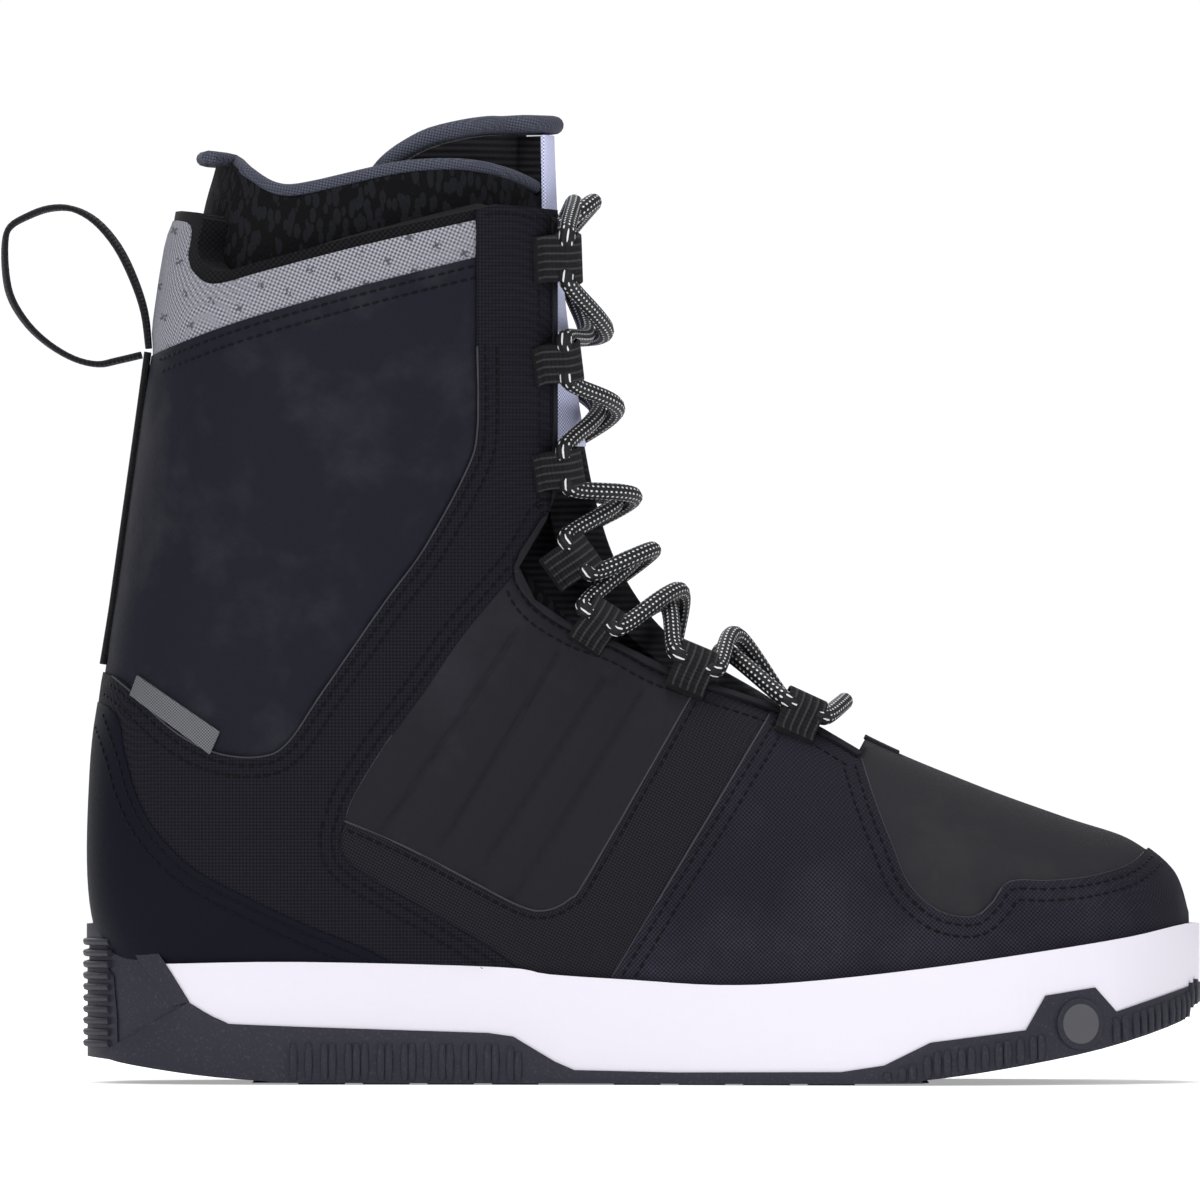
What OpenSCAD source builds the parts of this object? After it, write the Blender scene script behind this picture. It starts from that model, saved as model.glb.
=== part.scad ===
// Snowboard boot for the right foot: a laced, sewn upper with a removable liner,
// on a moulded midsole and a rubber outsole with a step-in heel cup.
// +X points to the toe, +Y to the big-toe side and +Z up; the sole rests on z = 0.

/* [Overall size] */
// Length of the sole from the heel cup to the toe
sole_length = 310; // [280:1:345]
// Height of the shell at the front of the cuff
cuff_height = 245; // [220:1:285]
// Width of the upper at the ball of the foot
ball_width = 107; // [96:1:118]
// Width of the upper round the calf
cuff_width = 120; // [108:1:134]

/* [Walls of the upper] */
// Thickness of the outer panels
skin_t = 1.8; // [1.2:0.1:2.4]
// Thickness of the foam-backed shell lining at the cuff
lining_t = 7.4; // [5.5:0.1:8.5]
// Thickness of the liner at the cuff
liner_t = 6.2; // [4.5:0.1:7.5]
// Thickness of the tongue's wings
wing_t = 2.7; // [1.5:0.1:3.5]
// Share of each wall's thickness that is left round the foot
foot_share = 0.55; // [0.45:0.01:0.7]
// Thickness of the heel stiffener and the toe puff
stiffener_t = 1.2; // [0.8:0.1:1.8]
// Thickness of the eyestay tape along the throat
tape_t = 1.2; // [0.8:0.1:1.8]
// Width of the eyestay tape
tape_w = 9; // [6:0.5:12]
// Gap between layers that lie on each other
layer_gap = 0.3; // [0.2:0.05:0.5]
// Gap between panels that meet at a seam
seam_gap = 0.3; // [0.2:0.05:0.5]

/* [Throat and tongue] */
// Half width of the throat at the cuff
throat_half = 29; // [25:0.5:33]
// How much wider the liner's throat is on each side
liner_step = 8; // [6.5:0.5:10]
// Half width of the tongue's padded middle
pad_half = 20; // [16:0.5:22]
// How far the tongue's face lies behind the shell's surface
tongue_drop = 8.5; // [7.5:0.1:9]
// Thickness of the tongue's face panel
face_t = 0.8; // [0.5:0.1:1.2]

/* [Laces] */
// Diameter of the lace
lace_d = 4.8; // [4:0.1:5.4]
// Clearance round the lace in its loops
lace_gap = 0.5; // [0.4:0.1:0.8]
// Thickness of the loop webbing
webbing_t = 1.1; // [0.8:0.1:1.5]

/* [Pull loop] */
// Width of the pull loop's webbing
pull_w = 18; // [12:0.5:24]
// Thickness of the pull loop's webbing
pull_t = 1.8; // [1.4:0.1:2.4]

/* [Sole] */
// Gap between the sole's moulded pieces
sole_gap = 0.2; // [0.1:0.05:0.4]
// Height of the tread lugs
lug_h = 1.6; // [1.2:0.1:2]
// Diameter of the round insert on each side of the toe
disc_d = 11.2; // [9:0.1:13]
// Thickness of that insert
disc_t = 3; // [2:0.1:4]
// Thickness of the shank
shank_t = 1.8; // [1.2:0.1:2.2]
// Diameter of the cushion under the heel
cushion_d = 34; // [28:1:36]

/* [Hidden] */

// Scales of the drawn outlines, which are laid out at the standard size.
kx = sole_length / 310;
kz = cuff_height / 245;
kball = ball_width / 107;
kcuff = cuff_width / 120;
wide = 200;
tall = 400;
far = 400;

// Rows of the last, from the toe tip round the heel and up to the cuff:
// front x, front z, rear x, rear z, half width, sideways shift.
ROWS = [
    [164, 47, 164, 36, 8, 7],
    [160, 58.5, 160, 28, 25, 7],
    [149, 67.5, 149, 24.5, 38.5, 6],
    [130, 74, 130, 21, 48, 4.5],
    [104, 83.5, 104, 18, 53, 2.5],
    [74, 96.5, 72, 15.5, 53.5, 0.5],
    [45, 114.5, 35, 15, 49, -1.5],
    [21, 131, -8, 17.5, 45, -2],
    [9, 150, -60, 21, 43.5, -1],
    [4.5, 168, -118, 23.5, 43, 0],
    [2, 183, -139.5, 42, 44, 0],
    [0, 200, -141.5, 88, 47, 0],
    [-2, 220, -134.5, 138, 52, 0],
    [-3.5, 240, -127.5, 187, 57, 0],
    [-4, 256, -121.5, 230, 60, 0],
    [-4.5, 276, -115, 268, 61, 0]
];
LAST_ROW = len(ROWS) - 1;
RINGS = 2 * LAST_ROW;
SIDES = 22;

// How the walls, the section and the toe change from row to row.
FRONT_WALL = [[6, foot_share], [9, 0.9], [12, 1]];
REAR_WALL = [[9, foot_share], [13, 1]];
NOSE = [[0, 1], [1, 0.85], [2, 0.48], [3, 0.15], [4, 0]];
WIDEST = [[0, 0.45], [3, 0.36], [7, 0.36], [9, 0.45], [12, 0.5]];
TOP_POWER = [[0, 2.2], [4, 2.2], [6, 2.05], [9, 2.1], [12, 2.3]];
BOTTOM_POWER = [[0, 2.6], [3, 4], [9, 4], [12, 2.4]];
WIDTH_SCALE = [[7, kball], [12, kcuff]];

// Depths of the layers below the surface of the last.
skin_in = -skin_t;
lining_out = skin_in - layer_gap;
lining_in = lining_out - lining_t;
liner_out = lining_in - layer_gap;
liner_in = liner_out - liner_t;
wing_out = liner_in - layer_gap;
wing_in = wing_out - wing_t;
stiffener_out = lining_out;
stiffener_in = stiffener_out - stiffener_t;
footbed_t = 4.5;
face_in = -tongue_drop - face_t;
pad_out = face_in - layer_gap;

function catmull(a, b, c, d, t) =
    0.5 * (2 * b + (c - a) * t + (2 * a - 5 * b + 4 * c - d) * t * t
    + (3 * b - a - 3 * c + d) * t * t * t);
function pick(list, i) = list[max(0, min(len(list) - 1, i))];
function along(list, s) =
    let (i = floor(s))
    catmull(pick(list, i - 1), pick(list, i), pick(list, i + 1), pick(list, i + 2), s - i);
function smooth(list, steps = 3) =
    [for (i = [0 : steps * (len(list) - 1)]) along(list, i / steps)];
function closed(list, steps = 3) =
    let (n = len(list))
    [for (i = [0 : steps * n - 1])
        let (k = floor(i / steps))
        catmull(list[(k + n - 1) % n], list[k], list[(k + 1) % n], list[(k + 2) % n],
            i / steps - k)];
function reverse(list) = [for (i = [len(list) - 1 : -1 : 0]) list[i]];
function sized(list) = [for (p = list) [p[0] * kx, p[1] * kz]];
function unit(v) = v / norm(v);

// One section of the last, grown by g: front point, rear point, half width, shift.
// Walls inside the surface get thinner towards the foot; what lies on it doesn't.
function section(s, g) =
    let (
        r = along(ROWS, s),
        front = [r[0] * kx, r[1] * kz],
        rear = [r[2] * kx, r[3] * kz],
        up = unit(front - rear),
        g_front = g * (g > 0 ? 1 : lookup(s, FRONT_WALL)),
        g_rear = g * (g > 0 ? 1 : lookup(s, REAR_WALL)),
        nose = [g_front * lookup(s, NOSE), 0]
    )
    [front + up * g_front + nose, rear - up * g_rear + nose,
        r[4] * lookup(s, WIDTH_SCALE) + (g_front + g_rear) / 2, r[5]];
function has_room(c) = c[2] > 5 && norm(c[0] - c[1]) > 6;
function ring(s, g) =
    let (
        c = section(s, g),
        m = lookup(s, WIDEST),
        top = 2 / lookup(s, TOP_POWER),
        low = 2 / lookup(s, BOTTOM_POWER)
    )
    [for (k = [0 : SIDES - 1])
        let (
            a = 360 * k / SIDES,
            high = cos(a) >= 0,
            e = high ? top : low,
            f = high ? m + (1 - m) * pow(cos(a), e) : m - m * pow(-cos(a), e),
            p = c[1] + (c[0] - c[1]) * f
        )
        [p[0], c[3] + c[2] * sign(sin(a)) * pow(abs(sin(a)), e), p[1]]];

// The section of the grown last that passes through a point of the side view.
function side_of(s, g, p) =
    let (c = section(s, g)) cross(c[0] - c[1], p - c[1]);
function share_of(s, g, p) =
    let (c = section(s, g), h = c[0] - c[1]) ((p - c[1]) * h) / (h * h);
function row_of(p, g) =
    let (
        d = [for (i = [0 : RINGS]) side_of(i / 2, g, p)],
        hits = [for (i = [0 : RINGS - 1])
            if (d[i] * d[i + 1] <= 0 && abs(share_of((i + 0.5) / 2, g, p) - 0.5) < 0.6)
                (i + d[i] / (d[i] - d[i + 1])) / 2]
    )
    hits[0];
// The point of the grown last at a point of the side view; side is -1 or 1 across it.
function on_last(p, g, side) =
    let (
        s = row_of(p, g),
        c = section(s, g),
        f = share_of(s, g, p),
        m = lookup(s, WIDEST),
        e = f >= m ? lookup(s, TOP_POWER) : lookup(s, BOTTOM_POWER),
        v = min(1, f >= m ? (f - m) / (1 - m) : (m - f) / m)
    )
    [p[0], c[3] + side * c[2] * pow(1 - pow(v, e), 1 / e), p[1]];

// The last grown by g, as a chain of hulls between its rings.
module last(g) {
    for (i = [0 : RINGS - 1])
        if (has_room(section(i / 2, g)))
            hull()
                polyhedron(
                    points = concat(ring(i / 2, g), ring((i + 1) / 2, g)),
                    faces = [[for (k = [0 : SIDES - 1]) k],
                        [for (k = [0 : SIDES - 1]) SIDES + k]]);
}
module layer(outer, inner) {
    difference() {
        last(outer);
        last(inner);
    }
}
// A shape of the side view, as wide as the boot.
module across(points, grow = 0) {
    rotate([90, 0, 0])
        linear_extrude(wide, center = true)
            offset(delta = grow)
                polygon(sized(points));
}
module half(side) {
    translate([-far / 2, side > 0 ? seam_gap / 2 : -seam_gap / 2 - far, -far / 2])
        cube([far, far, 2 * far]);
}

// Edges of the panels in the side view, at the standard size.
THROAT = [[-11.6, 300], [-11.6, 166], [-15, 157], [-22.5, 144], [-18, 135], [-7, 127.5],
    [5, 123], [20, 115.5], [49, 106], [62, 99.5], [73, 93]];
THROAT_FRONT = [[77, 101], [110, 140], [60, 300]];
STRAP_FRONT = [[-22.5, 144], [-38, 125.5], [-49, 109.5], [-60, 94.5], [-68.5, 80.5],
    [-71, 73.5]];
STRAP_LOW = [[-71, 73.5], [-72.3, 67], [-68, 60], [-44, 46], [-26.5, 35], [-8, 20]];
COUNTER_EDGE = [[-160, 110], [-137, 105], [-132.5, 92], [-129.5, 81.5], [-124, 71],
    [-113, 60], [-97, 51.5], [-81, 44], [-60, 35], [-40, 20]];
ANKLE_LOW = [[-160, 122], [-136, 113.7], [-129.5, 108.5], [-118.5, 98.5], [-107, 92.5],
    [-95, 91.3], [-87, 95], [-77, 109.5], [-60, 134], [-49, 149], [-37.5, 170], [-34, 182]];
ANKLE_TOP = [[-34, 230.3], [-60.5, 223.7], [-82, 217.8], [-103.5, 211.4], [-124, 203.8],
    [-150, 193]];
RIB_EDGE = [[-71, 73.5], [-54.5, 66.5], [-38, 58], [-22.5, 50], [-15, 48.6], [-8, 52],
    [-2.4, 59.6], [29, 114.2]];
VAMP_SEAM = [[-2.4, 20], [49, 106], [58, 121]];
TOE_LINE = [[70, 108], [73, 91], [76.5, 79.5], [81.5, 66.5], [86, 56], [94, 48.7],
    [103.5, 46.8], [109, 50.5], [114, 56.5], [125.5, 56.8], [137, 58], [148.5, 61.5],
    [156, 68], [162, 78]];
LASTING_LINE = [[-170, 30], [-120, 29], [-60, 26], [-8, 22.5], [35, 20], [72, 20.5],
    [104, 23], [130, 26], [149, 30], [158, 34], [190, 40]];
COLLAR_TOP = [[-34, 240.6], [-66, 233.5], [-93, 226.5], [-107, 223], [-113, 226],
    [-115, 231], [-115.5, 240.5], [-135, 240]];
BINDING_TOP = [[-34, 243.5], [-66, 236.5], [-93, 229.5], [-105, 226.5], [-110.5, 229],
    [-112, 234], [-112, 243], [-135, 243]];
LINER_TOP = [[-8, 239], [-16, 246.7], [-25, 252], [-39, 254.5], [-55, 253.5], [-71.5, 250],
    [-86, 247], [-94, 249.5], [-102, 256], [-110, 258], [-135, 258]];
TONGUE_TOP = [[-2, 264.5], [-18, 265.2], [-34, 264], [-47, 260.7], [-56, 255.5],
    [-62.5, 249], [-66, 238]];
TONGUE_REAR = [[-66, 238], [-62, 200], [-50, 170], [-30, 140], [-5, 116], [25, 100],
    [52, 88], [72, 79]];

module throat_cut(wider = 0, depth = 18) {
    across(concat(THROAT, THROAT_FRONT));
    intersection() {
        across(concat(THROAT, THROAT_FRONT), depth);
        linear_extrude(tall)
            offset(delta = wider)
                polygon([for (p = [[-60, throat_half], [-20, throat_half], [5, 25], [45, 20],
                    [70, 16], [75, 10], [75, -10], [70, -16], [45, -20], [5, -25],
                    [-20, -throat_half], [-60, -throat_half]]) [p[0] * kx, p[1]]]);
    }
}
module below_lasting(grow = 0) {
    across(concat(LASTING_LINE, [[190, -60], [-170, -60]]), grow);
}
// A panel of the upper's skin, with its outline in the side view.
module panel(points) {
    difference() {
        intersection() {
            layer(0, skin_in);
            across(points, -seam_gap / 2);
        }
        throat_cut();
        below_lasting();
    }
}
module half_panel(points, side) {
    intersection() {
        panel(points);
        half(side);
    }
}

// ---- Sole ----
SOLE_PLAN = [[-142.4, 0], [-138, -20], [-124, -34], [-100, -40], [-50, -42], [0, -46.5],
    [45, -53], [80, -56.5], [112, -54.5], [138, -45], [156, -28], [166.5, -6], [165.5, 18],
    [153, 38], [132, 50], [100, 56], [70, 55.5], [35, 49], [0, 43], [-40, 40.5], [-80, 40],
    [-110, 38.5], [-132, 29]];
SOLE_JOINT = [[-114.5, 23], [-105, 17.8], [-95, 16.6], [-31, 14.5],
    [-24, 13.5], [-12.5, 6.6], [-7, 4.2], [21, 3.6], [67, 3.8], [79, 5.6], [92, 12],
    [118.5, 15.4], [124, 25], [138, 27.2], [144, 20.4], [166, 27.5]];
SOLE_BASE = [[-139.9, 8.4], [-134, 6], [-112, 2.6], [-92, 0.9], [-84, 0.5], [76, 0.5],
    [90, 1.4], [112, 4.5], [140, 10.1], [162.5, 17.4], [166, 21.6]];
MIDSOLE_TOP = [[-121, 33.6], [-84, 34.2], [-28, 32.8], [-14, 30.8], [9, 29.3], [33, 27.9],
    [56, 28.8], [90, 32.5], [125, 37.5], [148, 41.2], [163.7, 44.5], [168, 42], [168.5, 30]];
CUP_TOP = [[-143.5, 40], [-142, 44], [-132, 44], [-126, 39.8], [-121, 33.6]];

function plan() = [for (p = closed(SOLE_PLAN)) [p[0] * kx, p[1] * kball]];
module sole_prism(inset = 0) {
    linear_extrude(tall / 4)
        offset(delta = -inset)
            polygon(plan());
}
// The half width of the sole at a given x, on one side.
function plan_y(x, side) =
    let (
        q = plan(),
        n = len(q),
        hits = [for (i = [0 : n - 1])
            let (a = q[i], b = q[(i + 1) % n])
            if ((a[0] - x) * (b[0] - x) <= 0 && a[0] != b[0] && side * (a[1] + b[1]) > 0)
                a[1] + (b[1] - a[1]) * (x - a[0]) / (b[0] - a[0])]
    )
    hits[0];
DISC_AT = [132.7, 17.1];
module disc_place(side) {
    x = DISC_AT[0] * kx;
    run = 4;
    y = plan_y(x, side);
    slope = atan2(plan_y(x + run, side) - plan_y(x - run, side), 2 * run);
    translate([x, y, DISC_AT[1] * kz])
        rotate([-90 * side, 0, slope])
            children();
}
module disc_pocket(side) {
    disc_place(side)
        translate([0, 0, -disc_t])
            cylinder(h = 2 * disc_t, d = disc_d + 2 * sole_gap, $fn = 48);
}
module disc(side) {
    color("dimgray")
        disc_place(side)
            translate([0, 0, -disc_t + sole_gap])
                cylinder(h = disc_t, d = disc_d, $fn = 48);
}
module outsole() {
    color("#1e1e22")
        difference() {
            intersection() {
                sole_prism();
                across(concat(SOLE_BASE, [[175, 24]], reverse(SOLE_JOINT)), -sole_gap / 2);
            }
            last(sole_gap);
            linear_extrude(lug_h + sole_gap)
                lug_outlines(sole_gap);
            disc_pocket(-1);
            disc_pocket(1);
        }
}
module heel_cup() {
    color("#1c1c20")
        difference() {
            intersection() {
                sole_prism();
                across(concat(CUP_TOP, [[-114.5, 23], [-139.9, 8.4], [-146, 9]]),
                    -sole_gap / 2);
            }
            last(sole_gap);
        }
}
// Flat-bottomed lugs under the forefoot and the heel, in rows across the sole.
LUG_ROWS = [-84, -66, -48, -30, 4, 22, 40, 58];
lug_l = 13;
lug_split = 6;
lug_margin = 7;
module lug_outlines(grow = 0) {
    offset(delta = grow)
        intersection() {
            offset(delta = -lug_margin)
                polygon(plan());
            for (x = LUG_ROWS)
                for (side = [-1, 1])
                    translate([x * kx, side > 0 ? lug_split / 2 : -lug_split / 2 - wide])
                        square([lug_l * kx, wide]);
        }
}
module tread_lugs() {
    color("#17171a")
        linear_extrude(lug_h)
            lug_outlines();
}
SHANK_PLAN = [[-66, 12], [-52, 17], [10, 17], [30, 10], [30, -10], [10, -17], [-52, -17],
    [-66, -12]];
// The shank and the cushion lie in pockets that are open towards the foot.
module shank_shape(clear = 0) {
    intersection() {
        layer(2 * layer_gap + shank_t + clear, clear > 0 ? skin_in : 2 * layer_gap);
        linear_extrude(tall / 8)
            offset(delta = clear)
                polygon([for (p = SHANK_PLAN) [p[0] * kx, p[1]]]);
    }
}
CUSHION_AT = [-88, 18.4];
cushion_h = 2.6;
module cushion_shape(clear = 0) {
    translate([CUSHION_AT[0] * kx, 0, CUSHION_AT[1] * kz - clear])
        cylinder(h = cushion_h * (clear > 0 ? 3 : 1), d = cushion_d + 2 * clear, $fn = 64);
}
module midsole() {
    color("#f0ecf5")
        difference() {
            intersection() {
                sole_prism(1);
                across(concat(SOLE_JOINT, reverse(MIDSOLE_TOP)), -sole_gap / 2);
            }
            last(sole_gap);
            shank_shape(sole_gap);
            cushion_shape(sole_gap);
        }
}
module shank() {
    color("silver") shank_shape();
}
module heel_cushion() {
    color("slategray") cushion_shape();
}
module lasting_board() {
    color("#8a7a60")
        intersection() {
            layer(0, skin_in);
            below_lasting(-seam_gap);
        }
}

// ---- Skin of the upper ----
module toe_panel() {
    color("#262626")
        panel(concat(smooth(TOE_LINE), [[120, 130], [75, 140]]));
}
module vamp() {
    color("#262530")
        panel(concat(VAMP_SEAM, smooth(TOE_LINE), [[190, 70], [190, 0], [-14, 0]]));
}
module quarter(side) {
    color("#201f29")
        half_panel(concat(smooth(STRAP_LOW), VAMP_SEAM, [[29, 130]], reverse(RIB_EDGE)), side);
}
module midfoot_panel(side) {
    color("#222129")
        half_panel(concat(smooth(STRAP_FRONT), RIB_EDGE, [[29, 150], [-10, 165]]), side);
}
module strap_overlay(side) {
    color("#23212d")
        half_panel(concat([[-34, 243.6], [-28, 245], [-5, 243.2], [-5, 165]],
            smooth(STRAP_FRONT), smooth(STRAP_LOW), [[-20, 0], [-44, 0]],
            reverse(smooth(COUNTER_EDGE)), smooth(ANKLE_LOW)), side);
}
module heel_counter() {
    color("#181c26")
        panel(concat(smooth(COUNTER_EDGE), [[-44, 0], [-170, 0]]));
}
module ankle_panel(side) {
    color("#1c1e28")
        half_panel(concat(smooth(ANKLE_LOW), smooth(ANKLE_TOP)), side);
}
module collar_mesh() {
    color("#8c8c91")
        panel(concat(smooth(COLLAR_TOP), reverse(smooth(ANKLE_TOP))));
}
module collar_binding() {
    color("#141418")
        difference() {
            intersection() {
                layer(0, lining_in);
                across(concat(smooth(BINDING_TOP), reverse(smooth(COLLAR_TOP))),
                    -seam_gap / 2);
            }
            throat_cut();
        }
}
// Tape sewn along the throat, outside the panels.
module eyestay(side) {
    color("#1a1a20")
        intersection() {
            difference() {
                intersection() {
                    layer(layer_gap + tape_t, layer_gap);
                    across(concat(THROAT, THROAT_FRONT), tape_w);
                    across([[-40, 241], [10, 241], [75, 130], [75, 80], [-40, 100]]);
                }
                throat_cut();
            }
            half(side);
        }
}
// Webbing sewn up the back of the shaft.
strip_half = 9;
module back_strip() {
    color("#121216")
        intersection() {
            layer(layer_gap + pull_t, layer_gap);
            across([[-160, 204], [-110, 204], [-110, 117], [-160, 117]]);
            translate([-far, -strip_half, 0])
                cube([far, 2 * strip_half, far]);
        }
}
// A plain grey tab on the ankle, on the little-toe side.
module rear_label() {
    color("#828489")
        intersection() {
            layer(layer_gap + 1, layer_gap);
            across([[-129, 114], [-105.7, 98.3], [-108.5, 92], [-131, 108.5]]);
            half(-1);
        }
}
// Reinforcement sewn over the point of the throat.
module throat_patch() {
    color("#1a1a1e")
        intersection() {
            layer(layer_gap + 1.2, layer_gap);
            across([[75.5, 120], [75.5, 86], [84, 84], [84, 120]]);
            translate([0, -7, 0])
                cube([far, 14, far]);
        }
}

// ---- Inside of the upper ----
LINING_AREA = concat([[-170, -20], [190, -20], [190, 150], [0, 243], [-34, 243]],
    smooth(COLLAR_TOP), [[-170, 240]]);
STIFFENER_AREA = [[-160, 20], [-160, 98], [-136, 98], [-124, 84], [-104, 64], [-70, 46],
    [-58, 34], [-58, 20]];
PUFF_AREA = [[118, 30], [116, 50], [122, 66], [126, 90], [180, 90], [180, 30]];
// The stiffeners lie in pockets of the lining that are open to the outer panels.
module stiffener_shape(area, clear = 0) {
    difference() {
        intersection() {
            layer(clear > 0 ? 0 : stiffener_out, stiffener_in - clear);
            across(area, clear);
        }
        below_lasting(2 - clear);
    }
}
module shell_lining(side) {
    color("#26262c")
        intersection() {
            difference() {
                intersection() {
                    layer(lining_out, lining_in);
                    across(LINING_AREA, -seam_gap / 2);
                }
                throat_cut(1, 26);
                stiffener_shape(STIFFENER_AREA, layer_gap);
                stiffener_shape(PUFF_AREA, layer_gap);
            }
            half(side);
        }
}
module heel_stiffener() {
    color("#6b6458") stiffener_shape(STIFFENER_AREA);
}
module toe_puff() {
    color("#6b6458") stiffener_shape(PUFF_AREA);
}
module liner() {
    color("#1b1b1f")
        difference() {
            intersection() {
                layer(liner_out, liner_in);
                across(concat([[-170, -20], [190, -20], [190, 150]], smooth(LINER_TOP),
                    [[-170, 258]]));
            }
            difference() {
                throat_cut(liner_step, 40);
                across([[-60, 238], [60, 238], [60, 400], [-60, 400]]);
            }
            throat_cut(0, 40);
        }
}
module footbed() {
    color("#4a4f5c")
        intersection() {
            layer(liner_in - 2 * layer_gap, liner_in - 2 * layer_gap - footbed_t);
            across([[-170, 38], [-118, 35], [-60, 31], [-8, 28], [35, 26], [72, 26.5],
                [104, 29], [130, 33], [149, 36], [190, 42], [190, 0], [-170, 0]]);
        }
}

// A band or cord swept along a path; each ring is turned square to it.
function turned(path, i) =
    unit(pick(path, i + 1) - pick(path, i - 1));
function swept_rings(path, shape, side_hint) =
    [for (i = [0 : len(path) - 1])
        let (
            t = turned(path, i),
            b = unit(cross(side_hint[min(i, len(side_hint) - 1)], t)),
            n = cross(t, b)
        )
        for (q = shape) path[i] + n * q[0] + b * q[1]];
module swept(path, shape, side_hint) {
    n = len(shape);
    m = len(path);
    polyhedron(
        points = swept_rings(path, shape, side_hint),
        faces = concat(
            [[for (k = [n - 1 : -1 : 0]) k]],
            [for (i = [0 : m - 2]) for (k = [0 : n - 1])
                [i * n + k, i * n + (k + 1) % n, (i + 1) * n + (k + 1) % n, (i + 1) * n + k]],
            [[for (k = [0 : n - 1]) (m - 1) * n + k]]));
}
function disk(d, n) = [for (k = [0 : n - 1]) [cos(360 * k / n), sin(360 * k / n)] * d / 2];

binding_d = 3.6;
tongue_binding_d = 4.8;
// Piping sewn on the liner's top edge, in one run round the back.
module liner_binding() {
    rim = [[-28, 253.4], [-39, 255], [-55, 254.2], [-71.5, 250.6], [-86, 247.8],
        [-94, 250.2], [-102, 256.4]];
    g = (liner_out + liner_in) / 2;
    lift = [0, 0, 1.2 * binding_d / 2];
    near = [for (p = sized(smooth(rim, 2))) on_last(p, g, -1) + lift];
    back = [for (a = [-60, -30, 0, 30, 60])
        [-106.5 * kx - 4 * cos(a), 34 * sin(a) * kcuff, 259.6 * kz]];
    path = concat(near, back, [for (p = reverse(near)) [p[0], -p[1], p[2]]]);
    color("#464b5a") swept(path, disk(binding_d, 8), [[0, 0, 1]]);
}

// ---- Tongue ----
// The wings are this much narrower than the liner round them, so the tongue can swing.
wing_tuck = 0.9;
module tongue() {
    color("#131317")
        union() {
            scale([1, wing_tuck, 1])
                intersection() {
                    layer(wing_out, wing_in);
                    across(concat(smooth(TONGUE_TOP), smooth(TONGUE_REAR),
                        [[83, 70], [89, 140], [30, 270]]));
                }
            intersection() {
                layer(pad_out, wing_in + wing_t / 2);
                across(concat([[-2, 264.5], [-30, 264.5], [-40, 160], [0, 100], [66, 70],
                    [76, 140], [30, 270]]));
                translate([-far / 2, -pad_half, 0])
                    cube([far, 2 * pad_half, far]);
                across(concat(THROAT, THROAT_FRONT), 40);
            }
        }
}
module tongue_face() {
    color("#e1e4fa")
        intersection() {
            layer(-tongue_drop, face_in);
            across([[30, 263.5], [-30, 263.5], [-30, 178], [30, 178]]);
            translate([-far / 2, -pad_half, 0])
                cube([far, 2 * pad_half, far]);
        }
}
module tongue_binding() {
    rim = [[-25, 267], [-34, 266.6], [-47, 263.4], [-56, 258.4], [-61, 254]];
    g = (wing_out + wing_in) / 2;
    near = [for (p = sized(smooth(rim, 2)))
        let (q = on_last(p, g, -1)) [q[0], q[1] * wing_tuck, q[2] + 1.2]];
    front = [for (y = [-22, -12, 0, 12, 22]) [-17 * kx + 6 * cos(4 * y), y, 267.8 * kz]];
    path = concat(reverse(near), front, [for (p = near) [p[0], -p[1], p[2]]]);
    color("#464b5a") swept(path, disk(tongue_binding_d, 8), [[0, 0, 1]]);
}

// ---- Laces ----
// Ends of the webbing loops in the side view, from the cuff down to the vamp.
LOOPS = [[[-9, 238], [-8.5, 223]], [[-9.5, 208], [-8, 195.5]], [[-9.5, 178], [-7.5, 166]],
    [[-9, 153], [-1.5, 142.5]], [[-4, 134], [6, 127.5]], [[21, 121], [33, 116]],
    [[51, 108], [63, 102.5]]];
loop_rise = tape_t + 3 * layer_gap + webbing_t + lace_gap + lace_d / 2;
loop_bore = lace_d + 2 * lace_gap;
// The webbing closes round this share of the distance between a loop's ends.
loop_share = 0.45;
function loop_end(k, e, side) =
    on_last([LOOPS[k][e][0] * kx, LOOPS[k][e][1] * kz], loop_rise, side);
function outward(p, side) =
    let (
        d = 1,
        x = on_last(p + [d, 0], loop_rise, side) - on_last(p - [d, 0], loop_rise, side),
        z = on_last(p + [0, d], loop_rise, side) - on_last(p - [0, d], loop_rise, side)
    )
    unit(cross(x, z) * (side > 0 ? -1 : 1));
module lace_loops(side) {
    color("#111114")
        for (k = [0 : len(LOOPS) - 1]) {
            a = loop_end(k, 0, side);
            b = loop_end(k, 1, side);
            t = unit(b - a);
            mid = sized([(LOOPS[k][0] + LOOPS[k][1]) / 2])[0];
            s = unit(cross(outward(mid, side), t));
            n = cross(t, s);
            run = norm(b - a) * loop_share;
            m = (a + b) / 2;
            outer = loop_bore + 2 * webbing_t;
            multmatrix([
                [t[0], s[0], n[0], m[0]],
                [t[1], s[1], n[1], m[1]],
                [t[2], s[2], n[2], m[2]],
                [0, 0, 0, 1]
            ])
                difference() {
                    cube([run, outer, outer], center = true);
                    cube([2 * run, loop_bore, loop_bore], center = true);
                }
        }
}

// Heights at which the two strands cross over the tongue, below each pair of loops.
CROSS_Z = [209, 187, 161, 145, 131, 116.5];
TOP_CROSS_Z = 246;
BAR_Z = 101.5;
under_rise = lace_d / 2 + 8 * layer_gap;
over_rise = under_rise + lace_d + 2 * layer_gap;
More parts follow.
